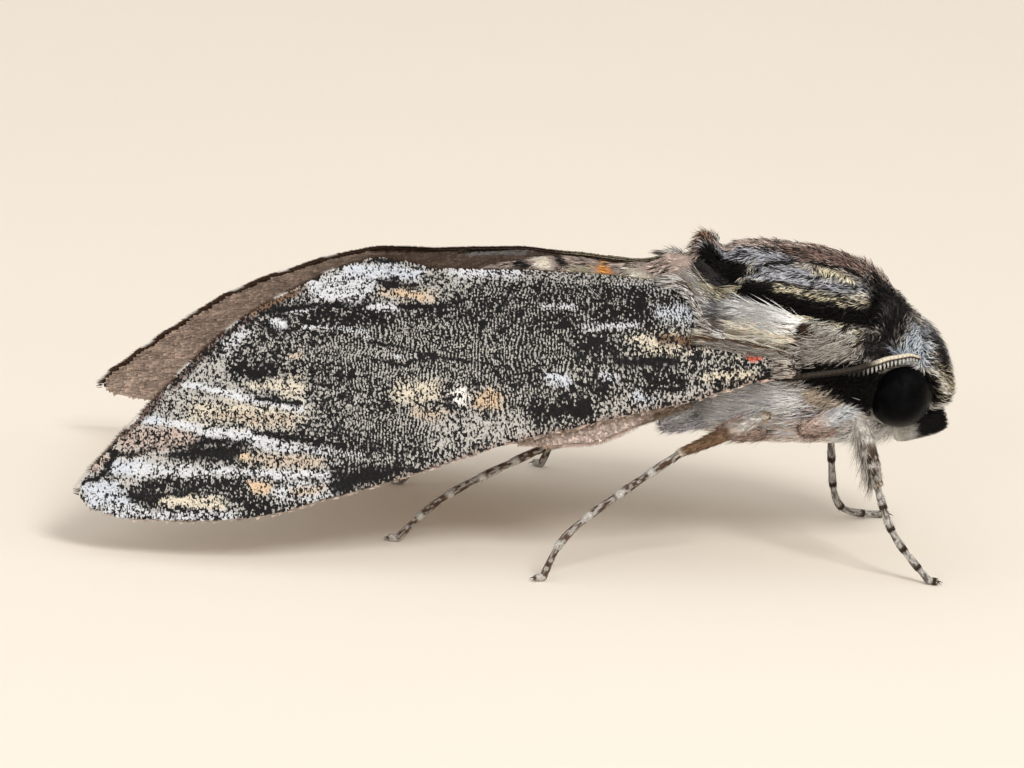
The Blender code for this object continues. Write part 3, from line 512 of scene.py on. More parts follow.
def line_distance(u, v, points):
    """Distance to a line of points, and the share of the line gone by at the nearest place."""
    if len(points) == 1:
        return np.hypot(u - points[0][0], v - points[0][1]), np.zeros_like(u)
    best, share = np.full_like(u, 1e9), np.zeros_like(u)
    for k, ((au, av), (bu, bv)) in enumerate(zip(points, points[1:])):
        du, dv = bu - au, bv - av
        t = np.clip(((u - au) * du + (v - av) * dv) / (du * du + dv * dv), 0, 1)
        distance = np.hypot(u - au - t * du, v - av - t * dv)
        nearer = distance < best
        best = np.where(nearer, distance, best)
        share = np.where(nearer, (k + t) / (len(points) - 1), share)
    return best, share


def painted(u, v, base, marks, edge, ragged=0.0):
    """Values at each place: base, then each mark's own values laid over it with a soft and ragged edge."""
    values = np.tile(np.array(base, float), (len(u), 1))
    for own, width, points in marks:
        distance, share = line_distance(u, v, points)
        first, last = width if isinstance(width, tuple) else (width, width)
        half = first + (last - first) * share
        soft = np.minimum(edge, 0.75 * half)
        weight = 1 - smooth_step(half - soft, half + soft, distance + ragged * np.minimum(half, 1.0))
        values = blend(values, np.array(own, float), weight)
    return values


def spanned(marks, span):
    """Marks with their second coordinate scaled."""
    return [(own, width, [(a, b * span) for a, b in points]) for own, width, points in marks]


def painted_colours(u, v, base, marks, edge, ragged, span=1.0):
    """The share of light at each place and its colour; span scales the marks' second coordinate."""
    marks = [((light, *PALETTE[tint]), width, points) for tint, light, width, points in marks]
    values = painted(u, v, base, spanned(marks, span), edge, ragged)
    return values[:, 0], values[:, 1:]


# ---------------------------------------------------------------- frame of the body


def stand_matrix():
    """From the body frame in metres to the world, with the moth on level feet as the frame has it."""
    turn = Matrix.Rotation(-STANCE_PITCH, 4, "Y")
    low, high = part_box("eye_left")
    eye = turn @ (Vector(EYE_CENTRE) * MM)
    return Matrix.Translation((low + high) / 2 - eye) @ turn


STAND = stand_matrix()


def stand(points):
    """Points of the body frame in millimetres, as world places in metres."""
    matrix = np.array(STAND)
    return np.asarray(points) * MM @ matrix[:3, :3].T + matrix[:3, 3]


# ---------------------------------------------------------------- meshes


def new_mesh(name, points, faces, colours=None, uv=None, smooth=True):
    """A mesh object from body-frame points and faces of one size. uv is for each corner of each face."""
    mesh = bpy.data.meshes.new(name)
    faces = np.asarray(faces)
    mesh.vertices.add(len(points))
    mesh.vertices.foreach_set("co", stand(points).astype(np.float32).ravel())
    mesh.loops.add(faces.size)
    mesh.loops.foreach_set("vertex_index", faces.astype(np.int32).ravel())
    mesh.polygons.add(len(faces))
    mesh.polygons.foreach_set("loop_start", np.arange(0, faces.size, faces.shape[1], dtype=np.int32))
    if colours is not None:
        attribute = mesh.color_attributes.new("tint", "FLOAT_COLOR", "POINT")
        rgba = np.ones((len(points), 4), np.float32)
        rgba[:, :3] = colours
        attribute.data.foreach_set("color", rgba.ravel())
    if uv is not None:
        layer = mesh.uv_layers.new(name="OFBake")
        layer.data.foreach_set("uv", np.asarray(uv, np.float32).ravel())
    mesh.update(calc_edges=True)
    mesh.validate()
    mesh.polygons.foreach_set("use_smooth", np.full(len(mesh.polygons), smooth))
    obj = bpy.data.objects.new(name, mesh)
    bpy.context.scene.collection.objects.link(obj)
    return obj


def piece(obj, material, nodes):
    """Makes an object part of the moth, in place of these nodes of the frame."""
    obj.data.materials.append(material)
    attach(obj, "root")
    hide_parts(*nodes)


def grid_faces(rows, columns, wrap=False):
    """Four-cornered faces over a grid of points, which may close round from its last column to its first."""
    i, j = grid(np.arange(rows - 1), np.arange(columns if wrap else columns - 1))
    n = (j + 1) % columns
    return np.stack((i * columns + j, i * columns + n, (i + 1) * columns + n, (i + 1) * columns + j), axis=1)


def closed_faces(rows, around):
    """Triangles of a grid that closes round, with its two ends closed by two more points after the grid's."""
    quads = grid_faces(rows, around, wrap=True)
    k = np.arange(around)
    n = (k + 1) % around
    last, front = (rows - 1) * around, np.full(around, rows * around)
    caps = (np.stack((n, k, front), 1), np.stack((last + k, last + n, front + 1), 1))
    return np.concatenate((quads[:, (0, 1, 2)], quads[:, (0, 2, 3)], *caps))


def wrapped_uv(places, triangles, around):
    """Each corner's map place. Faces over the seam run on past the last column, not back over the map."""
    uv = places[triangles]
    seam = (uv[:, :, 1].max(axis=1) - uv[:, :, 1].min(axis=1)) > 0.6
    uv[:, :, 1] = np.where(seam[:, None] & (uv[:, :, 1] < 0.3), uv[:, :, 1] + 1.0, uv[:, :, 1])
    uv[:, :, 1] *= around / (around + 1.0)
    return uv.reshape(-1, 2)


def over_map(*columns):
    """Map places for two lists of numbers, each taken from its lowest to its highest."""
    return np.stack([(c - c.min()) / (c.max() - c.min()) for c in columns], axis=1)


def patch_uv(places, corners):
    """A small patch at each place of the map: one map point for each of a tuft's corners."""
    turn = 2 * pi * (np.arange(corners) * 0.382 % 1.0)
    reach = TUFT_PATCH / 2 * (0.55 + 0.45 * (np.arange(corners) % 2))
    offsets = np.stack((np.cos(turn) * reach, np.sin(turn) * reach), axis=1)
    inside = TUFT_PATCH / 2 + places * (1 - TUFT_PATCH)
    return inside[:, None, :] + offsets[None]


def tufts(name, corners, shape, shades, colours, places, smooth=True):
    """Copies of one small closed shape: the points of its corners, its faces, and each corner's painted
    shade.
    """
    shape = np.array(shape)
    points = np.stack(corners, axis=1).reshape(-1, 3)
    faces = (np.arange(len(places)) * len(corners))[:, None, None] + shape[None]
    tints = (colours[:, None, :] * np.array(shades)[None, :, None]).reshape(-1, 3)
    uv = patch_uv(places, len(corners))[:, shape, :]
    return new_mesh(name, points, faces.reshape(-1, 3), np.clip(tints, 0, 1), uv.reshape(-1, 2), smooth)


SPIKE_FACES = ((0, 1, 3), (1, 2, 3), (2, 0, 3), (0, 2, 1))
HAIR_FACES = (
    *((0, 1, 4), (0, 4, 3), (1, 2, 5), (1, 5, 4), (2, 0, 3), (2, 3, 5)),
    *((3, 4, 6), (4, 5, 6), (5, 3, 6), (0, 2, 1)),
)


def hairs(
    name, roots, away, lie, length, width, colours, places, bend=0.5, swirl=None, segments=2, root_painted_shade=0.5
):
    """Closed three-sided hairs that leave the skin along away and bend over to lie."""
    across = unit(np.cross(lie, away))
    over = unit(np.cross(across, lie))
    length, width = length[:, None], np.reshape(width, (-1, 1))
    ring = [across * 0.5, -across * 0.5, over * 0.42]
    tip_way = unit(away * (1 - bend) + lie * bend)
    corners = [roots + r * width for r in ring]
    if segments == 1:
        corners.append(roots + tip_way * length)
        # Painted shade darkens the spike's root and painted light brightens its tip.
        return tufts(name, corners, SPIKE_FACES, (0.65, 0.65, 0.65, 1.25), colours, places)
    if swirl is not None:
        tip_way = unit(tip_way + across * swirl[:, None])
    middle = roots + away * length * 0.5
    corners += [middle + r * width * 0.78 for r in ring]
    corners.append(middle + tip_way * length * 0.5)
    # Painted shade darkens each hair's root ring, and painted light brightens its tip.
    shades = (root_painted_shade, root_painted_shade, root_painted_shade, 1.0, 1.0, 1.0, 1.3)
    return tufts(name, corners, HAIR_FACES, shades, colours, places)


# ---------------------------------------------------------------- materials


class Nodes:
    """A material's node tree with short ways to add to it."""

    def __init__(self, name, roughness, specular):
        self.material = bpy.data.materials.new(name)
        self.material.use_nodes = True
        self.tree = self.material.node_tree
        self.shader = self.tree.nodes["Principled BSDF"]
        self.shader.inputs["Roughness"].default_value = roughness
        self.shader.inputs["Specular IOR Level"].default_value = specular

    def add(self, kind, **values):
        """A new node with these settings: its own properties, or inputs with _ for each space."""
        node = self.tree.nodes.new(kind)
        for key, value in values.items():
            if hasattr(node, key):
                setattr(node, key, value)
            else:
                node.inputs[key.replace("_", " ")].default_value = value
        return node

    def link(self, source, target):
        self.tree.links.new(source, target)

    def over_object(self, kind, size, **values):
        """A texture over the object with grains of this size in millimetres."""
        place = self.add("ShaderNodeTexCoord")
        texture = self.add(kind, Scale=1 / (size * MM), **values)
        self.link(place.outputs["Object"], texture.inputs["Vector"])
        return texture

    def speckle(self, size, detail=3.0):
        """Noise from 0 to 1 with grains of this size."""
        return self.over_object("ShaderNodeTexNoise", size, Detail=detail).outputs["Fac"]

    def ramp(self, source, low, high, start=0.3, stop=0.7):
        """The source's range from start to stop, spread from low to high."""
        node = self.add("ShaderNodeMapRange", From_Min=start, From_Max=stop, To_Min=low, To_Max=high)
        self.link(source, node.inputs["Value"])
        return node.outputs["Result"]

    def two_tone(self, source, first, second, ends=(0.0, 1.0)):
        """The surface's colour: from one colour to another between these ends of the source's range."""
        tone = self.add("ShaderNodeValToRGB")
        for stop, colour, position in zip(tone.color_ramp.elements, (first, second), ends):
            stop.color = (*colour, 1)
            stop.position = position
        self.link(source, tone.inputs["Fac"])
        self.link(tone.outputs["Color"], self.shader.inputs["Base Color"])

    def tinted(self, size, dark, light):
        """The mesh's own colours, with speckle of this size between a darker and a lighter shade of them."""
        colours = self.add("ShaderNodeAttribute", attribute_name="tint")
        mix = self.add("ShaderNodeVectorMath", operation="SCALE")
        self.link(colours.outputs["Color"], mix.inputs[0])
        self.link(self.ramp(self.speckle(size), dark, light), mix.inputs["Scale"])
        self.link(mix.outputs[0], self.shader.inputs["Base Color"])

    def rough(self, size, low, high):
        self.link(self.ramp(self.speckle(size), low, high), self.shader.inputs["Roughness"])

    def bump(self, height, depth):
        """Raises the surface by the height output, up to this depth in millimetres."""
        node = self.add("ShaderNodeBump", Strength=1.0, Distance=depth * MM)
        self.link(height, node.inputs["Height"])
        self.link(node.outputs["Normal"], self.shader.inputs["Normal"])


def hair_material(name):
    nodes = Nodes(name, 0.7, 0.12)
    nodes.tinted(0.12, 0.82, 1.18)
    nodes.rough(0.2, 0.6, 0.85)
    return nodes.material


def skin_material(name, roughness=0.7):
    nodes = Nodes(name, roughness, 0.15)
    nodes.tinted(0.1, 0.65, 1.3)
    nodes.rough(0.15, roughness - 0.1, roughness + 0.15)
    nodes.bump(nodes.speckle(0.09, 5.0), 0.06)
    return nodes.material


def flake_material():
    nodes = Nodes("wing_scale_flakes", 0.55, 0.2)
    nodes.tinted(0.05, 0.8, 1.2)
    nodes.rough(0.3, 0.5, 0.75)
    nodes.bump(nodes.speckle(0.02, 2.0), 0.01)
    return nodes.material


def eye_material():
    """A compound eye: near black with a brown depth, and fine six-sided facets."""
    nodes = Nodes("compound_eye", 0.25, 0.03)
    cells = nodes.over_object("ShaderNodeTexVoronoi", 0.07, feature="DISTANCE_TO_EDGE", Randomness=0.25)
    nodes.bump(nodes.ramp(cells.outputs["Distance"], 0.0, 1.0, 0.0, 0.25), 0.006)
    nodes.two_tone(nodes.speckle(1.3, 2.0), (0.0014, 0.0016, 0.002), (0.004, 0.004, 0.0045), (0.4, 0.75))
    nodes.rough(0.6, 0.1, 0.2)
    return nodes.material


# ---------------------------------------------------------------- wings


class Wing:
    """A wing's outer surface, as a place for x and q. side is 1 on the left and -1 on the right."""

    def __init__(self, costa, trailing, drop):
        self.costa, self.trailing, self.drop = curve_through(costa), curve_through(trailing), drop
        self.fore_costa, self.fore_trailing = curve_through(FOREWING_COSTA), curve_through(FOREWING_TRAILING)
        self.crown, self.edge = curves_of(WING_CAMBER)

    def height(self, x, q):
        trail, lead = self.fore_trailing(x), self.fore_costa(x)
        across = np.clip((q - trail) / np.maximum(lead - trail, 1e-6), 0, 1)
        begin = np.arcsin(np.clip(self.edge(x) / self.crown(x), 0, 1))
        return self.crown(x) * np.sin(begin + (pi - begin) * across) - self.drop

    def place(self, x, q, above, side):
        h = self.height(x, q) + above
        y = q * cos(ROOF_SLOPE) + h * sin(ROOF_SLOPE)
        z = RIDGE - q * sin(ROOF_SLOPE) + h * cos(ROOF_SLOPE)
        return np.stack((x, side * y, z), axis=-1)

    def frame(self, x, q, depth, side):
        """Places this deep in the wing, with the unit ways along +x and +q there and the outward way."""
        step, above = 0.05, wing_relief(x, q) - depth
        along = unit(self.place(x + step, q, above, side) - self.place(x - step, q, above, side))
        down = unit(self.place(x, q + step, above, side) - self.place(x, q - step, above, side))
        return self.place(x, q, above, side), along, down, unit(np.cross(along, down)) * side


FOREWING = Wing(FOREWING_COSTA, FOREWING_TRAILING, 0.0)
HINDWING = Wing(HINDWING_COSTA, HINDWING_TRAILING, HINDWING_DROP)
SHEET_DEPTH, SHEET_THICKNESS = 0.08, 0.14  # the membrane under the scales
UNDER_DEPTH = SHEET_DEPTH + SHEET_THICKNESS
SCALE_DEPTH = SHEET_DEPTH - 0.03
SCALE_PARTING = -6.5  # x where the upper scales part into two pieces
WING_HAIR = 0.07  # width of the hairs on the wings
COSTA_INSET = 0.12  # how far the membrane keeps inside the costa
FRINGE_ROOT = 0.42  # how far inside a wing's edge the hairs of its fringe begin
FLAKE_LIFT = 0.045  # how far the free end of a scale stands up
VEIN_WIDTH, VEIN_RISE, FOLD_RISE, DENT_RISE = 0.16, 0.07, 0.05, 0.05
CELL_END = (-2.5, 11.6)
MARGIN = ((-10.2, 2.3), (-13.4, 4.2), (-16.8, 6.2), (-19.6, 8.9), (-22, 11.8), (-24.4, 14.9), (-26.4, 17.6))
VEINS = (
    ((17.8, 9.6), (8, 9.3), (2, 9), (-6, 5.6), MARGIN[0]),
    ((2, 9), (-5, 8), MARGIN[1]),
    ((0, 9.6), (-6, 8.8), MARGIN[2]),
    ((17.8, 9.8), (8, 11.4), (0, 13.2), CELL_END),
    ((4, 12.5), (-6, 15.8), (-14, 18.4), (-20, 20.2)),
    ((11, 3.9), (0, 4.4), (-8, 2.6)),
    *((CELL_END, ((CELL_END[0] + x) / 2, (CELL_END[1] + q) / 2 + 0.5), (x, q)) for x, q in MARGIN[3:]),
)


def wing_relief(x, q):
    """How far veins, folds and dents raise a wing's surface."""
    veins = np.max([bell(line_distance(x, q, vein)[0], VEIN_WIDTH) for vein in VEINS], axis=0)
    fold = FOLD_RISE * np.sin(2 * pi * q / 2.4) * smooth_step(4.0, -14.0, x)
    return VEIN_RISE * veins + DENT_RISE * (noise(x / 1.2, q / 0.8, 31) - 0.5) + fold


def wing_colours(x, q, fine=True):
    """Colours of the forewing's upper side. Where fine is true each place is a dark or a light scale."""
    ragged = (noise(x / 0.7, q / 0.3, 11) - 0.5) * 0.95 + (noise(x / 0.2, q / 0.16, 12) - 0.5) * 0.45
    light, tint = painted_colours(x, q, (0.33, *PALETTE["bone"]), WING_MARKS, 0.55, ragged)
    near_costa = (1 - smooth_step(0.1, 0.5, FOREWING.costa(x) - q)) * smooth_step(-12.0, -8.0, x)
    tint = blend(tint, PALETTE["dun"], 0.8 * near_costa)
    broad, small = noise(x / 1.1, q / 0.7, 13) - 0.5, noise(x / 0.45, q / 0.4, 18) - 0.5
    light = light + 0.3 * light * broad + 0.12 * small
    light = np.clip(0.04 + 0.86 * light, 0.05, 0.92)
    dark = DARK_SCALE * (0.8 + 0.6 * light[:, None])
    bright = tint * (0.86 + 0.37 * light)[:, None]
    if not fine:
        return blend(dark, bright, light * 0.8)
    rng = np.random.default_rng(19)
    waves = painted(x, q, (0.2,), WING_WAVES, 0.8)[:, 0]
    warp = 0.55 * noise(x / 1.1, q / 0.8, 14) + 0.1 * noise(x / 0.4, q / 0.4, 15)
    ripple = 0.5 + 0.5 * np.sin(2 * pi * (x + warp + 0.05 * q) / 0.2)
    cells = ranked(noise(x / 0.075, q / 0.12, 16) + 0.75 * rng.uniform(0, 1, len(x)))
    grain = ranked(cells * (1 - waves) + (0.82 * ripple + 0.18 * cells) * waves)
    softness = 0.02 + 0.32 * light * (1 - light)
    return blend(dark, bright, smooth_step(-softness, softness, light - grain))


UNDERSIDE_MARKS = (
    ("dun", 0.7, 0.7, ((-8, 17.5), (-10, 10), (-8, 3))),
    ("dun", 0.75, 0.5, ((-17, 20.5), (-15, 12), (-12, 4))),
    ("rose", 1, 2.5, ((8, 8), (16, 9))),
    ("umber", 0.6, 0.22, ((-9, 1.6), (-4.8, 2.8), (2, 3.1), (9, 3.3))),
    ("white", 1.1, 0.35, ((-2.6, 3.7), (0.6, 3.9))),
    ("white", 1, 0.22, ((-0.4, 3.2), (1.4, 3.3))),
    ("black", 0.6, 0.16, ((-3.4, 3.3), (-0.6, 3.2))),
)


def underside_colours(x, q):
    """Plain brownish grey with a paler root, faint bars, and white patches by the inner margin."""
    ragged = 0.6 * (noise(x / 0.5, q / 0.3, 22) - 0.5)
    light, tint = painted_colours(x, q, (1.0, *PALETTE["dun"]), UNDERSIDE_MARKS, 0.5, ragged)
    mottle = 0.9 + 0.6 * noise(x / 0.3, q / 0.4, 21) + 0.3 * (noise(x / 2.5, q / 1.2, 23) - 0.5)
    return tint * (light * mottle)[:, None]


def sheet(name, wing, ends, side, columns, rows, top_colours, inset):
    """A thin closed sheet that follows a wing, with raised veins, a little inside its outline."""
    tip, root = ends
    share = (np.arange(columns) / (columns - 1)) ** 1.2
    x, v = grid(tip + inset + (root - tip - inset) * share, np.linspace(0, 1, rows))
    trail, lead = wing.trailing(x), wing.costa(x)
    narrow = np.minimum(inset, 0.3 * (lead - trail))
    q = trail + narrow + (lead - trail - narrow - np.minimum(COSTA_INSET, narrow)) * v
    relief = wing_relief(x, q)
    points = [wing.place(x, q, relief - depth, side) for depth in (SHEET_DEPTH, UNDER_DEPTH)]
    upper = grid_faces(columns, rows)
    below = columns * rows
    # The rim runs up one side of the grid of points and back down the other.
    rim = np.concatenate((
        np.arange(columns) * rows,
        (columns - 1) * rows + np.arange(1, rows),
        np.arange(columns - 2, -1, -1) * rows + rows - 1,
        np.arange(rows - 2, 0, -1),
    ))
    after = np.roll(rim, -1)
    wall = np.stack((rim + below, after + below, after, rim), axis=1)
    faces = np.concatenate((upper, upper[:, ::-1] + below, wall))[:, ::side]
    colours = np.concatenate((top_colours(x, q), underside_colours(x, q)))
    # The two faces share the map's height, top above and underside below.
    across = (x - tip) / (root - tip)
    depth = (q - q.min()) / (q.max() - q.min())
    uv = np.concatenate([np.stack((across, low + 0.49 * depth), 1) for low in (0.51, 0.0)])
    return new_mesh(name, np.concatenate(points), faces, colours, uv[faces.ravel()])


def scattered(wing, ends, spacing, margin, seed):
    """Places over a wing in staggered rows, each a little off its place."""
    tip, root = ends
    step_x, step_q = spacing[0] * THINNING**0.5, spacing[1] * THINNING**0.5
    rng = np.random.default_rng(seed)
    x, q = np.meshgrid(np.arange(tip, root, step_x), np.arange(0.8, 21.6, step_q), indexing="ij")
    q = q + step_q / 2 * (np.arange(len(x)) % 2)[:, None]
    x, q = x.ravel(), q.ravel()
    x = x + step_x * rng.uniform(-0.3, 0.3, len(x))
    q = q + step_q * rng.uniform(-0.4, 0.4, len(q))
    keep = (q > wing.trailing(x) + margin) & (q < wing.costa(x) - 0.06)
    keep &= (x > tip + margin) & (x < root - 0.05)
    return x[keep], q[keep], rng


def flakes(name, wing, x, q, colours, rng, side, depth, facing=1, size=(0.2, 0.2)):
    """Closed wedge-shaped scales in overlapping rows, with their free ends towards the outer margin."""
    here, along, down, out = wing.frame(x, q, depth, side)
    out = out * facing
    turn = rng.uniform(-0.25, 0.25, len(x))[:, None]
    away = -along * np.cos(turn) + down * np.sin(turn)
    wide = down * np.cos(turn) + along * np.sin(turn)
    length = size[0] * rng.uniform(0.8, 1.2, len(x))[:, None]
    width = size[1] * rng.uniform(0.8, 1.2, len(x))[:, None]
    raised = FLAKE_LIFT * rng.uniform(0.5, 1.5, len(x))[:, None]
    root = here - away * length * 0.5 - out * 0.01
    end = here + away * length * 0.5
    left = end + wide * width / 2 + out * raised
    right = end - wide * width / 2 + out * raised * 0.9
    shape = np.array(((0, 1, 2), (0, 2, 3), (0, 3, 1), (1, 3, 2)))[:, :: side * facing]
    corners = [root, left, right, end - out * 0.03]
    # Painted shade darkens each scale's root and the corner under its raised free end.
    return tufts(name, corners, shape, (0.8, 1.0, 1.0, 0.8), colours, over_map(x, q), smooth=False)


def fringe(name, wing, ends, side, count, length, colour_of, edge, depth):
    """Hairs along the costa (edge 1) or the trailing edge (-1) of a wing, pointing out from it."""
    tip, root = ends
    rng = np.random.default_rng(41 + (side > 0))
    count //= THINNING
    t = (np.arange(count) + rng.uniform(-0.5, 0.5, count)) / count
    x = np.clip(tip + (root - tip) * t, tip + 0.02, root - 0.02)
    line = wing.costa if edge > 0 else wing.trailing
    here, along, down, out = wing.frame(x, line(x) - edge * FRINGE_ROOT, depth, side)
    slope = (line(x + 0.1) - line(x - 0.1)) / 0.2
    # Square to the edge, leaning to the wing's tip.
    away = down * edge - along * (edge * slope + 0.35)[:, None]
    away = unit(away + out * rng.normal(0, 0.04, count)[:, None])
    lie = unit(away - along * 0.3 - out * 0.05)
    colours = colour_of(x, rng)
    places = np.stack(((x - tip) / (root - tip), rng.uniform(0, 1, count)), axis=1)
    lengths = length * rng.uniform(0.75, 1.15, count)
    return hairs(name, here, away, lie, lengths, WING_HAIR, colours, places)


def strands(x, rng, tint, low, high):
    """One tint for each x, between two shades of it."""
    return PALETTE[tint] * rng.uniform(low, high, len(x))[:, None]


def upper_margin(x, rng):
    """The under fringe's colours, with short white dashes at the veins' ends near the wing's tip."""
    wave = np.sin(2 * pi * (x + 11.6) / 3.1 + pi / 2)
    dash = (wave + rng.normal(0, 0.12, len(x)) > 0.66) & (x < -10.0)
    return np.where(dash[:, None], strands(x, rng, "snow", 0.8, 1.1), lower_margin(x, rng))


def lower_margin(x, rng):
    """Dark brown, and pale by the inner margin."""
    inner = (x + rng.normal(0, 0.6, len(x)) > 3.6)[:, None]
    return np.where(inner, strands(x, rng, "straw", 0.2, 1.0), strands(x, rng, "umber", 0.35, 1.0))


def pale_margin(x, rng):
    """The hindwing's fringe."""
    return strands(x, rng, "rose", 0.4, 1.1)


def root_hair(name, side):
    """Long hairs over the forewing's root, tan with a brown streak, which run back among the scales."""
    rng = np.random.default_rng(59)
    count = 2500 // THINNING
    x = rng.uniform(12.6, 18.1, count)
    middle, spread = between(x, (12.6, 14.5, 18.1), ((8.5, 0.2), (8.3, 0.42), (8.9, 0.3))).T
    off = rng.normal(0, 1, count) * spread
    q = np.clip(middle + off, FOREWING.trailing(x) + 0.1, None)
    here, along, down, out = FOREWING.frame(x, q, SHEET_DEPTH, side)
    away = -along + out * rng.uniform(0.06, 0.3, count)[:, None] + down * rng.normal(0, 0.1, count)[:, None]
    lie = unit(-along - out * 0.1 + down * rng.normal(0, 0.1, count)[:, None])
    off = off[:, None]
    streak = bell(off - 0.1, 0.25) > rng.uniform(0.0, 1.1, count)[:, None]
    colours = np.where(streak, strands(x, rng, "umber", 0.4, 1.2), strands(x, rng, "tan", 0.6, 1.7))
    colours = np.where((off < -0.1) & ~streak, strands(x, rng, "cream", 0.9, 1.8), colours)
    colours = np.where(off > 0.32, strands(x, rng, "mouse", 0.4, 1.1), colours)
    lengths = rng.uniform(0.9, 1.7, count)
    return hairs(name, here, unit(away), lie, lengths, WING_HAIR, colours, over_map(x, q))


def edge_hair(name, side):
    """Fur over the forewing's front end and the near part of its trailing edge, where it meets the thorax."""
    rng = np.random.default_rng(60)
    count = 2200 // THINNING
    inner = rng.uniform(0, 1, count) < 0.55
    along_edge, near_root = rng.uniform(10.4, 14.2, count), 0.06 + 0.8 * rng.uniform(0, 1, count) ** 1.4
    x = np.where(inner, along_edge, FOREWING_ROOT - near_root)
    trail, lead = FOREWING.trailing(x), FOREWING.costa(x)
    share = rng.uniform(0.02, 0.98, count)
    near_edge = 0.06 + 0.9 * rng.uniform(0, 1, count) ** 1.3
    q = trail + np.where(inner, near_edge, (lead - trail) * share)
    here, along, down, out = FOREWING.frame(x, q, SHEET_DEPTH, side)
    rise = rng.uniform(0.1, 0.45, count)[:, None]
    away = unit(-along + out * rise + down * (rng.normal(0.1, 0.15, count) + 0.25 * inner)[:, None])
    lie = unit(-along - out * 0.1 + down * 0.12)
    pale = rng.uniform(0, 1, count)[:, None] < np.where(inner, 0.55, 0.6)[:, None]
    cover = np.where(inner[:, None], strands(x, rng, "snow", 0.8, 1.3), strands(x, rng, "mouse", 1.0, 1.9))
    colours = np.where(pale, cover, strands(x, rng, "umber", 0.2, 0.9))
    lengths = np.where(inner, 1.3, 0.8) * rng.uniform(0.7, 1.3, count)
    return hairs(name, here, away, lie, lengths, WING_HAIR, colours, over_map(x, q))


def build_forewing(name, side, skin, flake, hair):
    """Membrane, scales above and below, both fringes, and the hairs of the root and inner edge."""
    ends = (APEX, FOREWING_ROOT)
    top = lambda x, q: wing_colours(x, q, fine=False)
    made = [(sheet(name + "_membrane", FOREWING, ends, side, 180, 62, top, 0.34), skin)]
    x, q, _ = scattered(FOREWING, ends, FLAKE_SPACING, 0.22, 51)
    colours = wing_colours(x, q)
    for part, keep in (("outer", x < SCALE_PARTING), ("inner", x >= SCALE_PARTING)):
        rng = np.random.default_rng(53)
        rows = (x[keep], q[keep], colours[keep])
        made.append((flakes(f"{name}_scales_{part}", FOREWING, *rows, rng, side, SCALE_DEPTH), flake))
    x, q, rng = scattered(FOREWING, ends, (UNDER_SPACING, UNDER_SPACING), 0.3, 55)
    colours = underside_colours(x, q) * rng.uniform(0.7, 1.5, len(x))[:, None]
    below = UNDER_DEPTH + 0.02
    under = flakes(name + "_scales_under", FOREWING, x, q, colours, rng, side, below, -1, (0.4, 0.31))
    made.append((under, flake))
    for part, count, length, colour_of, depth in (
        ("_fringe", 2700, 0.55, upper_margin, SHEET_DEPTH),
        ("_fringe_under", 1300, 0.52, lower_margin, UNDER_DEPTH),
    ):
        edge = fringe(name + part, FOREWING, (APEX, 11.4), side, count, length, colour_of, -1, depth)
        made.append((edge, hair))
    made += [(root_hair(name + "_root_hair", side), hair), (edge_hair(name + "_edge_hair", side), hair)]
    for obj, finish in made:
        piece(obj, finish, [name])


def build_hindwing(name, side, skin, flake, hair):
    ends = (HINDWING_TIP, HINDWING_ROOT)
    membrane = sheet(name + "_membrane", HINDWING, ends, side, 90, 40, underside_colours, 0.25)
    x, q, rng = scattered(HINDWING, ends, (0.17, 0.2), 0.2, 57)
    colours = underside_colours(x, q) * rng.uniform(0.6, 1.6, len(x))[:, None]
    size = (0.3, 0.26)
    scales = flakes(name + "_scales", HINDWING, x, q, colours, rng, side, SCALE_DEPTH, size=size)
    edge = fringe(name + "_fringe", HINDWING, (0.5, 10.0), side, 900, 0.55, pale_margin, 1, UNDER_DEPTH)
    for obj, finish in ((membrane, skin), (scales, flake), (edge, hair)):
        piece(obj, finish, [name])


def build_wings():
    finishes = (skin_material("wing_membrane", 0.6), flake_material(), hair_material("wing_fringe"))
    for side_name, side in SIDES.items():
        build_forewing("forewing_" + side_name, side, *finishes)
        build_hindwing("hindwing_" + side_name, side, *finishes)


# ---------------------------------------------------------------- body


class Body:
    """The body's outer surface, as a place for x and the angle from the top in degrees."""

    def __init__(self):
        self.top, self.bottom, self.half_width = curves_of(BODY)

    def place(self, x, angle):
        middle = (self.top(x) + self.bottom(x)) / 2
        half_height = (self.top(x) - self.bottom(x)) / 2
        across, rise = np.sin(np.radians(angle)), np.cos(np.radians(angle))
        crest = CREST * smooth_step(12.4, 10.8, x)
        rise = np.where(rise > 0, np.maximum(rise, 0) ** (1 + crest), rise)
        return np.stack((x, self.half_width(x) * across, middle + half_height * rise), axis=-1)

    def frame(self, x, angle, step=0.04):
        """Places, with the unit ways to the tail and down the left side there, and the outward way."""
        tailward = unit(self.place(x - step, angle) - self.place(np.minimum(x + step, FACE), angle))
        round_way = unit(self.place(x, angle + 0.5) - self.place(x, angle - 0.5))
        return self.place(x, angle), tailward, round_way, unit(np.cross(round_way, tailward))

    def area(self, x, angle, step=0.02):
        """How much surface there is at each place, as a measure to share hairs out by."""
        across = self.place(x, angle + 0.5) - self.place(x, angle - 0.5)
        along = self.place(np.minimum(x + step, FACE), angle) - self.place(x - step, angle)
        return np.linalg.norm(across, axis=1) * np.linalg.norm(along, axis=1)


BODY_SHAPE = Body()


def coat_depth(x, angle):
    """How far the skin lies inside the outer surface, which the tips of the coat reach."""
    depth = 0.3 + 0.12 * smooth_step(NECK, 22.0, x) - 0.1 * smooth_step(12.0, 10.0, x)
    depth = depth - 0.12 * smooth_step(27.0, 28.3, x)
    along = (x - TEGULA_X) / TEGULA_HALF_LENGTH
    around = (np.abs(angle) - TEGULA_ANGLE - 3.0 * along) / TEGULA_HALF_ANGLE
    from_middle = np.hypot(along, around)
    flap = 1 - smooth_step(0.82, 1.02, from_middle)
    # The shoulder flap stands proud, with a step down along its lower edge.
    return depth - 0.3 * flap + 0.12 * (1 - flap) * (1 - smooth_step(1.0, 1.5, from_middle))


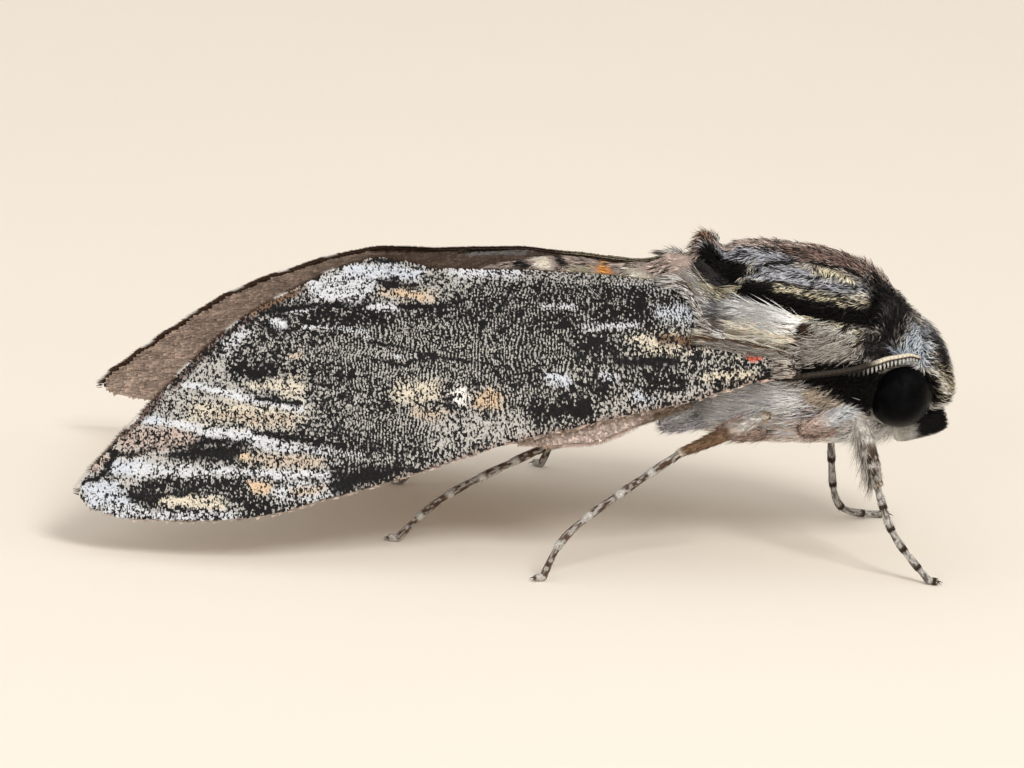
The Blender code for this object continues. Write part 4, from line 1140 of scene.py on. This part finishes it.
def rings_of_abdomen(x):
    """Grooves between the abdomen's rings, from 0 to 1."""
    place = (WAIST - x) / ABDOMEN_RING
    near = np.abs(place - np.round(place)) * ABDOMEN_RING
    return bell(near, 0.22) * (x < 10.5) * (x > TAIL + 1.0)


def skin_frame(x, angle):
    """Places on the skin, with the same ways as the outer surface has."""
    here, tailward, round_way, out = BODY_SHAPE.frame(x, angle)
    depth = coat_depth(x, angle) + 0.16 * rings_of_abdomen(x)
    return here - out * depth[:, None], tailward, round_way, out


def body_colours(x, angle, fine=True):
    """Colours of the body. Where fine is true each place is a dark or a light hair."""
    v = np.abs(angle) * ANGLE_SPAN
    ragged = (noise(x / 0.9, v / 0.3, 61) - 0.5) * 0.7 + (noise(x / 0.4, v / 0.12, 62) - 0.5) * 0.5
    light, tint = painted_colours(x, v, (0.6, *PALETTE["mouse"]), BODY_MARKS, 0.35, ragged, ANGLE_SPAN)
    light = np.clip(light + 0.25 * (noise(x / 0.8, v / 0.5, 66) - 0.5) * (light > 0.15), 0, 1)
    dark = PALETTE["black"] * (0.3 + 1.3 * light[:, None])
    bright = tint * (0.85 + 1.3 * light)[:, None]
    if not fine:
        return blend(dark, bright, light * 0.55)
    rng = np.random.default_rng(67)
    streaks = ranked(0.62 * noise(x / 0.7, v / 0.13, 63) + 0.38 * rng.uniform(0, 1, len(x)))
    return blend(dark, bright, smooth_step(-0.08, 0.08, light - streaks))


def build_skin():
    columns, around = 270, 100
    share = np.linspace(0, 1, columns)
    x, angle = grid(
        FACE - 0.001 - (FACE - TAIL - 0.002) * share**1.25,
        np.linspace(-180, 180, around, endpoint=False),
    )
    points, _, _, out = skin_frame(x, angle)
    points = points + out * (0.05 * (noise(x / 0.35, angle / 4.0, 65) - 0.5))[:, None]
    points = np.concatenate((points, [points[:around].mean(axis=0), points[-around:].mean(axis=0)]))
    colours = body_colours(x, angle, fine=False)
    colours = np.concatenate((colours, [colours[0], colours[-1]]))
    faces = closed_faces(columns, around)
    u = np.append((FACE - x) / (FACE - TAIL), (0.0, 1.0))
    v = np.append((angle + 180) / 360, (0.5, 0.5))
    uv = wrapped_uv(np.stack((u, v), axis=1), faces, around)
    nodes = ["head", "thorax", "abdomen", "tegula_left", "tegula_right"]
    piece(new_mesh("body_skin", points, faces, colours, uv), skin_material("body_skin"), nodes)


def eye_centre(side):
    return np.array((EYE_CENTRE[0], side * EYE_CENTRE[1], EYE_CENTRE[2]))


def coat(name, ends, angles, count, width, seed, segments=2):
    """The coat over one stretch of the body, evenly spread over its surface."""
    rng = np.random.default_rng(seed)
    count //= THINNING
    tries = count * 6
    x = ends[0] + (ends[1] - ends[0]) * rng.uniform(0, 1, tries)
    bias = 1.0
    if ends[1] == FACE:
        # More tries on the blunt face, where the surface turns square to x.
        near = 1.2
        x = np.where(rng.uniform(0, 1, tries) < 0.5, FACE - near * rng.uniform(0, 1, tries) ** 2, x)
        extra = 0.25 / np.sqrt(np.maximum(FACE - x, 1e-4) * near)
        bias = 0.5 / (ends[1] - ends[0]) + np.where(FACE - x < near, extra, 0)
    angle = rng.uniform(*angles, tries)
    weight = BODY_SHAPE.area(x, angle) / bias
    chosen = np.argsort(-(rng.uniform(0, 1, tries) ** (1 / weight)))[:count]
    x, angle = x[chosen], angle[chosen]
    v = np.abs(angle) * ANGLE_SPAN
    length, lift, fall, curl = painted(x, v, COAT, spanned(COAT_LIE, ANGLE_SPAN), 0.35).T
    fall = fall + 2 * CLUMP_TURN * (noise(x / 0.5, v / 0.3, 68) - 0.5)
    lift = lift * (1 + 2 * CLUMP_LIFT * (noise(x / 0.45, v / 0.25, 69) - 0.5))
    return grown(name, (x, angle, length, lift, fall, curl), body_colours(x, angle), width, rng, segments)


ROOT_DEPTH, EYE_ROOM = 0.04, 0.06  # how deep hairs begin in the skin, and how far they keep from the eyes


def grown(name, columns, colours, width, rng, segments=2, root_painted_shade=0.5):
    """Hairs rooted in the skin, by columns of x, angle, length, lift, fall and curl."""
    surface = skin_frame(*columns[:2])
    clear = np.ones(len(colours), bool)
    for side in SIDES.values():
        clear &= np.linalg.norm(surface[0] - eye_centre(side), axis=1) > EYE_RADIUS + EYE_ROOM
    x, angle, length, lift, fall, curl = (column[clear] for column in columns)
    here, tailward, round_way, out = (column[clear] for column in surface)
    amount = len(x)
    fall = np.radians(fall + rng.normal(0, 10, amount))
    lift = np.radians(np.maximum(lift * rng.uniform(0.5, 1.5, amount), 3.0))
    side = np.sign(angle) + (angle == 0)
    flat = turned(tailward, round_way, side * fall)
    away = turned(flat, out, lift)
    length = length * rng.uniform(0.7, 1.25, amount)
    width = width * rng.uniform(0.75, 1.3, amount)
    colours = colours[clear] * rng.uniform(0.7, 1.3, amount)[:, None]
    swirl = curl * rng.normal(0, 1, amount)
    look = (length, width, colours, over_map(x, angle), 0.6, swirl, segments, root_painted_shade)
    return hairs(name, here - out * ROOT_DEPTH, away, unit(flat - out * 0.12), *look)


def locks(name, side):
    """The locks of one side as one piece."""
    rng = np.random.default_rng(76)
    rows = []
    for tint, shade, count, length, lift, fall, spread, points in LOCKS:
        count //= THINNING
        at = rng.uniform(0, len(points) - 1, count)
        x, angle = between(at, range(len(points)), points).T
        x = x + rng.normal(0, spread, count)
        angle = side * np.clip(angle + rng.normal(0, spread / ANGLE_SPAN, count), 0, 180)
        dark = rng.uniform(0, 1, count) < 0.12
        colours = PALETTE[tint] * (shade * np.where(dark, 0.35, rng.uniform(0.75, 1.15, count)))[:, None]
        lie = np.tile((length, lift, fall, 0.12), (count, 1))
        rows.append(np.column_stack((x, angle, lie, colours)))
    columns = np.concatenate(rows).T
    # The locks' roots get less painted shade than the rest of the coat.
    return grown(name, columns[:6], columns[6:].T, 0.08, rng, root_painted_shade=0.9)


def build_coat():
    finish = hair_material("body_hair")
    thorax = (["thorax", "tegula_left", "tegula_right"], "grey_fur")
    whole = (-180, 180)
    pieces = (
        (coat("head_coat", (NECK, FACE), whole, 13000, 0.059, 71), ["head"], "grey_fur"),
        (coat("thorax_coat_left", (WAIST, NECK), (0, 180), 13400, 0.079, 72), *thorax),
        (coat("thorax_coat_right", (WAIST, NECK), (-180, 0), 13400, 0.079, 73), *thorax),
        (coat("abdomen_coat", (TAIL, WAIST), whole, 14500, 0.12, 74, segments=1), ["abdomen"], "pale_fur"),
        *((locks("thorax_locks_" + name, side), ["thorax"], "grey_fur") for name, side in SIDES.items()),
    )
    for obj, nodes, slot in pieces:
        piece(obj, finish, nodes)


def build_eyes():
    finish = eye_material()
    rows, around = 48, 96
    polar, turn = grid(np.linspace(0, pi, rows + 2)[1:-1], np.linspace(0, 2 * pi, around, endpoint=False))
    # The poles lie across the head.
    ball = np.stack((np.sin(polar) * np.cos(turn), np.cos(polar), np.sin(polar) * np.sin(turn)), axis=1)
    ball = np.concatenate((ball, ((0, 1, 0), (0, -1, 0))))
    for side_name, side in SIDES.items():
        points = ball * EYE_RADIUS + eye_centre(side)
        lens = new_mesh("eye_" + side_name + "_lens", points, closed_faces(rows, around)[:, ::-1])
        piece(lens, finish, ["eye_" + side_name])


# ---------------------------------------------------------------- round limbs


class Tube:
    """A round limb along a line of points, with frames turned as little as possible from one to the next."""

    def __init__(self, points, radii, up=(0, 0, 1), step=0.09):
        points = np.asarray(points, float)
        lengths = way_along(points)
        self.length = lengths[-1]
        self.s = np.linspace(0, self.length, max(int(self.length / step), 8))
        self.centre = between(self.s, lengths, points)
        self.radius = np.interp(self.s, lengths, radii)
        self.ahead = unit(np.gradient(self.centre, axis=0))
        self.up = np.empty_like(self.centre)
        way = np.array(up, float)
        for i, ahead in enumerate(self.ahead):
            way = unit(way - ahead * way.dot(ahead))
            self.up[i] = way
        self.side = np.cross(self.ahead, self.up)

    def at(self, s, turn):
        """Places at these lengths and turns from the up way, with their ahead and outward ways."""
        known = (self.centre, self.ahead, self.up, self.side)
        centre, ahead, up, side = (between(s, self.s, values) for values in known)
        out = turned(up, side, turn)
        return centre + out * np.interp(s, self.s, self.radius)[:, None], unit(ahead), out

    def mesh(self, sides, colour_of):
        """Points, triangles, colours and map places of the limb, closed at both ends."""
        s, turn = grid(self.s, np.linspace(0, 2 * pi, sides, endpoint=False))
        points = np.concatenate((self.at(s, turn)[0], self.centre[[0, -1]]))
        triangles = closed_faces(len(self.s), sides)[:, ::-1]
        s, turn = np.append(s, (0, self.length)), np.append(turn, (0, 0))
        places = np.stack((s / self.length, turn / (2 * pi)), axis=1)
        return points, triangles, colour_of(s, turn), wrapped_uv(places, triangles, sides)


BRISTLE_LIFT, BRISTLE_LENGTH, BRISTLE_WIDTH = 48.0, 0.32, 0.036


def tube_coat(name, tube, count, width, reach, lift, colour_of, seed, start=0.0, bristles=0.0):
    """Hairs over a limb that lie towards its end. reach and lift are functions of the way along and outwards.

    This share of the hairs are bristles, which are dark and stand up.
    """
    rng = np.random.default_rng(seed)
    count //= THINNING
    s = start + (tube.length - 0.05 - start) * rng.uniform(0, 1, count)
    turn = rng.uniform(0, 2 * pi, count)
    here, ahead, out = tube.at(s, turn)
    stiff = rng.uniform(0, 1, count) < bristles
    lengths = reach(s, out) * rng.uniform(0.7, 1.25, count)
    lifts = np.radians(np.where(stiff, BRISTLE_LIFT, lift(s, out))) * rng.uniform(0.5, 1.5, count)
    flat = unit(ahead + np.cross(ahead, out) * rng.normal(0, 0.2, count)[:, None])
    away = turned(flat, out, lifts)
    colours = colour_of(s, turn) * rng.uniform(0.7, 1.3, count)[:, None]
    colours = np.where(stiff[:, None], PALETTE["umber"] * 0.5, colours)
    places = np.stack((s / tube.length, turn / (2 * pi)), axis=1)
    lengths = np.where(stiff, np.maximum(lengths * 1.2, BRISTLE_LENGTH), lengths)
    widths = np.where(stiff, BRISTLE_WIDTH, width * rng.uniform(0.8, 1.3, count))
    return hairs(name, here - out * 0.03, away, flat, lengths, widths, colours, places, 0.4, segments=1)


# ---------------------------------------------------------------- palps and antennae


def palp_colours(s, turn):
    """Black in front and above, greyish white below and at the root."""
    ragged = 0.3 * (noise(s / 0.25, turn / 0.25, 81) - 0.5)
    below = smooth_step(-0.35, -0.8, np.cos(turn + 0.4) + ragged)
    root = 1 - smooth_step(1.0, 1.6, s + ragged)
    pale_share = np.maximum(below * (1 - smooth_step(2.2, 3.0, s)), root)
    return blend(PALETTE["black"] * 0.45, PALETTE["bone"], pale_share)


PALP_FUR, PALP_TIP = 0.16, 0.32  # depth of the hair over the skin, and length of the rounded tip


def build_palps():
    skin, hair = skin_material("palp_skin"), hair_material("palp_hair")
    for side_name, side in SIDES.items():
        line = smooth_line([(x, side * y, z, r) for x, y, z, r in PALP], 60)
        line, radii = line[:, :3], line[:, 3] - PALP_FUR
        # The skin begins inside the head and ends in a rounded tip.
        first = line[0] - (line[1] - line[0]) * 4
        last = line[-1] + unit(line[-1] - line[-2]) * PALP_TIP
        points = np.concatenate(([first], line, [line[-1] * 0.4 + last * 0.6, last]))
        tube = Tube(points, (0.5, *radii, radii[-1] * 0.8, 0.12))
        name = "palp_" + side_name
        colours = lambda s, turn: palp_colours(s, turn * side)
        reach, lift = lambda s, out: 0.34, lambda s, out: 22.0
        piece(new_mesh(name + "_skin", *tube.mesh(32, colours)), skin, [name])
        made = tube_coat(name + "_coat", tube, 3800, 0.058, reach, lift, colours, 82 + (side > 0))
        piece(made, hair, [name])


SEGMENT = 0.325  # length of one segment of the antenna
COMB_BRISTLES, COMB_REACH = 7, 2.3  # the reach is in the shaft's own radii
SHAFT_SHARE = 0.48  # how thick the shaft is for the whole antenna, which the combs fill


def antenna_colours(s, turn):
    """Cream scales with fine joints on top and dark below, all darkened by painted shade past the first few
    millimetres, where the antenna runs under the fur and the wing.
    """
    joint = np.exp(-((((s / SEGMENT) % 1.0) - 0.5) ** 2) / 0.02)
    # Past the first few millimetres painted shade takes the cream off the top and darkens the rest.
    top = smooth_step(-0.1, 0.4, np.cos(turn)) * (1 - 0.97 * smooth_step(3.2, 4.6, s))
    cream = PALETTE["cream"] * (1.1 - 0.4 * joint)[:, None]
    dark = PALETTE["umber"] * (0.3 - 0.22 * smooth_step(3.4, 4.8, s))[:, None]
    return blend(dark, cream, top)


def antenna_tube(side):
    """The shaft, which flares a little at each segment."""
    line = smooth_line([(x, side * y, z, r) for x, y, z, r in ANTENNA], 400)
    flare = 0.5 + 0.5 * np.cos(2 * pi * (way_along(line[:, :3]) / SEGMENT - 0.25))
    radii = line[:, 3] * SHAFT_SHARE * (0.92 + 0.14 * flare)
    up = np.array((0, 0.25 * side, 1.0))
    return Tube(line[:, :3] + unit(up) * 0.1, radii, up, step=0.055)


def antenna_combs(name, tube, side):
    """Each segment carries two short combs of pale bristles on its lower side."""
    index = np.arange((int(tube.length / SEGMENT) - 1) * 2 * COMB_BRISTLES)
    segment, comb = index // (2 * COMB_BRISTLES), (index // COMB_BRISTLES) % 2
    bristle = index % COMB_BRISTLES / (COMB_BRISTLES - 1) - 0.5
    s = (segment + 0.5 + bristle * 0.42) * SEGMENT + 0.2
    here, ahead, out = tube.at(s, np.where(comb == 0, 2.0, -2.0))
    down = unit(np.array((0, -0.1 * side, -1.0)))
    reach = np.interp(s, tube.s, tube.radius) * COMB_REACH * (1 - 0.8 * smooth_step(5.2, 6.6, s))
    # Painted shade darkens the bristles past the first few millimetres, where the antenna runs under the fur
    # and the wing.
    shade = np.random.default_rng(85).uniform(0.9, 1.25, len(s)) * (1 - 0.96 * smooth_step(3.9, 5.2, s))
    tint = PALETTE["bone"] * shade[:, None]
    places = np.stack((s / tube.length, 0.25 + 0.5 * comb), axis=1)
    away, lie = unit(out * 0.55 + down + ahead * 0.12), unit(down + ahead * 0.1)
    return hairs(name, here - out * 0.05, away, lie, reach, 0.045, tint, places, 0.6)


def build_antennae():
    skin, hair = skin_material("antenna_skin", 0.55), hair_material("antenna_bristles")
    for side_name, side in SIDES.items():
        tube, name = antenna_tube(side), "antenna_" + side_name
        piece(new_mesh(name + "_shaft", *tube.mesh(16, antenna_colours)), skin, [name])
        piece(antenna_combs(name + "_combs", tube, side), hair, [name])


# ---------------------------------------------------------------- legs


def on_floor(x, y):
    """The point of the body frame that stands on the floor at this x and y."""
    return Vector((x, y, -x * tan(STANCE_PITCH)))


def rounded_corner(before, corner, after):
    """Points of the curve that rounds a corner."""
    towards, away = (before - corner).normalized(), (after - corner).normalized()
    reach = KNEE_BEND * tan((pi - towards.angle(away)) / 2)
    reach = min(reach, (before - corner).length * 0.45, (after - corner).length * 0.45)
    start, end = corner + towards * reach, corner + away * reach
    return [start * (1 - t) ** 2 + corner * 2 * t * (1 - t) + end * t * t for t in np.linspace(0, 1, 13)]


def leg_line(leg, side):
    """A leg's centre line, the length gone by at its points, and that at trochanter, knee, ankle and toe."""
    places = [Vector((x, side * y, z)) for x, y, z in leg["points"]]
    bend, foot = leg["tarsus"]
    bend = Vector((bend[0], side * bend[1], bend[2]))
    toe = on_floor(foot[0], side * foot[1]) + Vector((0, 0, leg["radii"][4] * FOOT_LEVEL))
    heading = on_floor(toe.x - bend.x, toe.y - bend.y).normalized()
    heel = toe - heading * TOE_LENGTH
    places.append(bend)
    line, marks = [places[0]], []
    for before, corner, after in zip(places, places[1:], places[2:]):
        arc = rounded_corner(before, corner, after)
        marks.append(len(line) + len(arc) // 2)
        line += arc
    # The last corner is the ankle, from which the tarsus runs in one bend.
    line = line[: marks[-1] + 1]
    ankle = line[-1]
    line += [ankle * (1 - t) ** 3 + bend * 3 * t * (1 - t) + heel * t**3 for t in np.linspace(0, 1, 17)[1:]]
    marks.append(len(line) - 1)
    line = np.array([*line, toe])
    lengths = way_along(line)
    return line, lengths, lengths[marks]


def leg_radius(s, joints, total, radii):
    """Radius along a leg: each part swells between thin joints, and tarsal segments widen to their ends."""
    bounds = (0.0, *joints[:3])
    radius = np.zeros_like(s)
    for thick, low, high in zip(radii[:3], bounds, bounds[1:]):
        share = np.clip((s - low) / (high - low), 0, 1)
        part = thick * (0.5 + 0.5 * np.sin(pi * np.clip(share * 0.86 + 0.1, 0, 1)) ** 0.7)
        radius = np.where((s >= low) & (s <= high), part, radius)
    share = np.clip((s - joints[2]) / (total - joints[2]), 0, 1)
    within = (share * TARSAL_SEGMENTS) % 1.0
    tarsus = (radii[3] + (radii[4] - radii[3]) * share) * (0.8 + 0.2 * smooth_step(0.0, 0.75, within))
    tarsus = tarsus * np.where(within > 0.93, 0.86, 1.0)
    return np.where(s > joints[2], tarsus, radius)


def leg_colours(kind, joints, total):
    """Colours along a leg: pale thigh, mottled or brown shin, and a banded foot of five segments."""
    _, knee, ankle, _ = joints

    def colours(s, turn):
        speck = noise(s / 0.14, turn / 0.5, 91)
        mottled = smooth_step(0.42, 0.6, noise(s / 0.2, turn / 0.6, 92))
        tibia = np.clip((s - knee) / (ankle - knee), 0, 1)
        shade = lambda tint, low, high: PALETTE[tint] * (low + (high - low) * speck)[:, None]
        thigh = shade("lilac", 0.8, 1.3) if kind == "hindleg" else shade("rose", 0.8, 1.2)
        thigh = blend(thigh, shade("white", 0.9, 1.5), smooth_step(knee - 3.0, knee - 1.2, s))
        flecks = speck > (0.42 if kind == "midleg" else 0.6)
        thigh = thigh * (1 - 0.75 * (1 - mottled) * flecks)[:, None]
        pale = shade("bone", 0.7, 1.4)
        if kind == "foreleg":
            shin = blend(shade("umber", 0.4, 1.2), pale, mottled)
            shin = blend(shin, pale * 1.3, 0.65 * (1 - smooth_step(0.1, 0.6, tibia)))
            foot, ring = shade("bone", 0.45, 1.15), shade("umber", 0.15, 0.5)
        else:
            white = 1 - smooth_step(0.3, 0.5, tibia) if kind == "midleg" else 0.35
            shin = blend(shade("brown", 0.3, 1.3), pale * 1.2, white * (0.5 + 0.5 * mottled))
            foot, ring = shade("umber", 0.35, 1.0), shade("bone", 0.7, 1.1)
        if kind == "midleg":
            near_knee = bell(s - knee, 0.35)
            thigh, shin = (blend(part, PALETTE["orange"] * 0.7, near_knee) for part in (thigh, shin))
        shin = blend(shin, PALETTE["tan"] * 0.9, smooth_step(0.92, 0.97, tibia))
        within = (np.clip((s - ankle) / (total - ankle), 0, 1) * TARSAL_SEGMENTS) % 1.0
        foot = blend(foot, ring, 0.75 * smooth_step(0.48, 0.62, noise(s / 0.3, turn / 0.45, 94)))
        foot = blend(foot, ring, smooth_step(0.74, 0.82, within) * (1 - smooth_step(0.97, 1.0, within)))
        result = np.where((s < knee)[:, None], thigh, shin)
        return np.where((s > ankle)[:, None], foot, result)

    return colours


def spike_tube(base, tip, radius, sag=0.12):
    """A slightly bent spine from base to tip."""
    t = np.linspace(0, 1, 9)[:, None]
    drop = np.array((0, 0, -1)) * sag * np.linalg.norm(tip - base)
    return Tube(base + (tip - base) * t + drop * t * (1 - t), radius * (1 - 0.92 * t[:, 0]))


SPURS = {"foreleg": (), "midleg": (0.97,), "hindleg": (0.97, 0.72)}  # places of the pairs along the tibia
SPUR_REACH, SPUR_RADIUS, CLAW_RADIUS = (1.25, 0.95), 0.11, 0.07


def leg_extras(kind, line, joints, lengths):
    """Spurs at the tibia's end and the two claws of the foot."""
    tubes = []
    at = lambda s: np.array([np.interp(s, lengths, line[:, k]) for k in range(3)])
    for share in SPURS[kind]:
        s = joints[1] + (joints[2] - joints[1]) * share
        ahead = unit(at(s + 0.1) - at(s - 0.1))
        across = unit(np.cross(ahead, (0, 0, 1)))
        for sign, reach in zip((1, -1), SPUR_REACH):
            tip = at(s) + ahead * reach * 0.85 + across * sign * 0.42 + np.array((0, 0, -0.28))
            tubes.append(spike_tube(at(s) + across * sign * 0.1, tip, SPUR_RADIUS))
    toe, ahead = line[-1], unit(line[-1] - line[-2])
    across = unit(np.cross(ahead, (0, 0, 1)))
    for sign in (1, -1):
        tip = toe + ahead * 0.3 + across * sign * 0.26 + np.array((0, 0, -0.12))
        tubes.append(spike_tube(toe - ahead * 0.1 + across * sign * 0.06, tip, CLAW_RADIUS, -0.5))
    return tubes


def leg_mesh(name, limb, spikes, colour_of):
    """One mesh of a leg's limb with its spurs and claws, which share the top of the map."""
    sides = 18
    made = [limb.mesh(sides, colour_of)]
    made[0][3][:, 1] *= 0.84
    horn = lambda s, turn: np.tile(PALETTE["umber"] * 0.5, (len(s), 1))
    for k, spike in enumerate(spikes):
        parts = spike.mesh(sides, horn)
        parts[3][:, 1] = 0.86 + (0.14 * k + 0.12 * parts[3][:, 1]) / len(spikes)
        made.append(parts)
    points, faces, colours, uvs = zip(*made)
    starts = np.cumsum([0, *(len(p) for p in points[:-1])])
    faces = [f + start for f, start in zip(faces, starts)]
    return new_mesh(name, *(np.concatenate(parts) for parts in (points, faces, colours, uvs)))


def build_leg(kind, side_name, skin, hair):
    side, name = SIDES[side_name], f"{kind}_{side_name}"
    leg = LEFT_FORELEG if name == "foreleg_left" else LEGS[kind]
    line, lengths, joints = leg_line(leg, side)
    _, knee, ankle, _ = joints
    total = lengths[-1]
    fine = np.linspace(0, total, 500)
    # The skin lies inside the leg's outline by the depth of its hair.
    depth = np.interp(fine, (0, knee, ankle * 0.99, ankle, total), (0.2, 0.2, 0.16, 0.05, 0.03))
    tube = Tube(between(fine, lengths, line), leg_radius(fine, joints, total, leg["radii"]) - depth)
    nodes = [f"{name}_{part}" for part in LEG_PARTS]
    colours = leg_colours(kind, joints, total)
    extras = leg_extras(kind, line, joints, lengths)
    piece(leg_mesh(name + "_skin", tube, extras, colours), skin, nodes)
    # The near foreleg's shin has long fluff at its rear.
    fluff = 1.0 if name == "foreleg_right" else 0.1
    stops = (0.0, knee, knee + 1, ankle - 0.5, ankle, total)
    rear = lambda s, out: fluff * np.clip(-out[:, 0], 0, 1) * (s > knee) * (s < ankle - 0.3)
    reach = lambda s, out: np.interp(s, stops, (0.9, 0.8, 0.55, 0.42, 0.2, 0.13)) + rear(s, out)
    lift = lambda s, out: np.interp(s, stops, (24, 26, 22, 20, 15, 16)) + 24 * rear(s, out)
    made = tube_coat(name + "_coat", tube, 3900, 0.056, reach, lift, colours, 93, 0.3, 0.03)
    piece(made, hair, nodes)


def build_legs():
    skin, hair = skin_material("leg_skin", 0.6), hair_material("leg_hair")
    for kind in LEGS:
        for side_name in SIDES:
            build_leg(kind, side_name, skin, hair)


# ---------------------------------------------------------------- studio


# The studio is in metres: how far the floor runs level, the radius of its sweep up, the backdrop's top, and
# how little the floor lies below the feet.
FLOOR_REACH, SWEEP, BACKDROP_TOP, FLOOR_DROP = 2.2, 0.9, 2.2, 0.00002


def build_floor():
    """A pale floor that sweeps up into a backdrop all round."""
    profile = [(0.3, 0.0), (1.2, 0.0), (FLOOR_REACH, 0.0)]
    rise = np.linspace(0.1, pi / 2, 10)
    profile += [(FLOOR_REACH + SWEEP * sin(t), SWEEP - SWEEP * cos(t)) for t in rise]
    profile += [(FLOOR_REACH + SWEEP, BACKDROP_TOP)]
    sides = 64
    points = [(0.0, 0.0, -FLOOR_DROP)]
    for radius, height in profile:
        turns = (2 * pi * k / sides for k in range(sides))
        points += [(radius * cos(turn), radius * sin(turn), height - FLOOR_DROP) for turn in turns]
    faces = [(0, 1 + k, 1 + (k + 1) % sides) for k in range(sides)]
    faces += (1 + grid_faces(len(profile), sides, wrap=True))[:, (0, 3, 2, 1)].tolist()
    mesh = bpy.data.meshes.new("studio_floor")
    mesh.from_pydata(points, [], faces)
    mesh.shade_smooth()
    floor = bpy.data.objects.new("studio_floor", mesh)
    bpy.context.scene.collection.objects.link(floor)
    nodes = Nodes("studio_floor", 0.8, 0.1)
    nodes.two_tone(nodes.speckle(60.0, 2.0), linear(246, 238, 226), linear(250, 243, 232))
    mesh.materials.append(nodes.material)


def area_light(name, place, size, power, colour=(1, 1, 1)):
    """A square soft light that looks at the moth."""
    data = bpy.data.lights.new(name, "AREA")
    data.shape = "SQUARE"
    data.size = size
    data.energy = power
    data.color = colour
    light = bpy.data.objects.new(name, data)
    light.location = place
    light.rotation_euler = (-Vector(place)).to_track_quat("-Z", "Y").to_euler()
    bpy.context.scene.collection.objects.link(light)


def build_lights():
    world = bpy.data.worlds.new("studio")
    world.use_nodes = True
    background = world.node_tree.nodes["Background"]
    background.inputs["Color"].default_value = (1.0, 0.98, 0.955, 1)
    background.inputs["Strength"].default_value = 0.68
    bpy.context.scene.world = world
    area_light("key", (0.3, -0.5, 0.62), size=0.3, power=3.7, colour=(1.0, 0.98, 0.95))
    area_light("fill", (-0.35, -0.65, 0.16), size=0.45, power=1.7)


CAMERA_TILT, CAMERA_DISTANCE = radians(14.0), 500.0
VIEW_WIDTH = 66.56  # how much the picture shows across at the moth's midplane
MIDDLE_BELOW_RIDGE = 9.035
SENSOR = 36.0


def build_camera():
    view = Vector((0, cos(CAMERA_TILT), -sin(CAMERA_TILT)))
    up = Vector((0, sin(CAMERA_TILT), cos(CAMERA_TILT)))
    middle = Vector((0, 0, RIDGE)) - up * MIDDLE_BELOW_RIDGE
    eye = (middle - view * CAMERA_DISTANCE) * MM
    data = bpy.data.cameras.new("camera")
    camera = bpy.data.objects.new("camera", data)
    bpy.context.scene.collection.objects.link(camera)
    turn = Matrix((Vector((1, 0, 0)), up, -view)).transposed().to_4x4()
    camera.matrix_world = STAND @ Matrix.Translation(eye) @ turn
    data.sensor_width = SENSOR
    data.lens = SENSOR * CAMERA_DISTANCE / VIEW_WIDTH
    data.clip_start, data.clip_end = 0.01, 20.0
    bpy.context.scene.camera = camera
    bpy.context.scene.view_settings.view_transform = "Standard"


def main():
    build_camera()
    build_lights()
    build_floor()
    build_skin()
    build_coat()
    build_eyes()
    build_palps()
    build_antennae()
    build_legs()
    build_wings()


main()
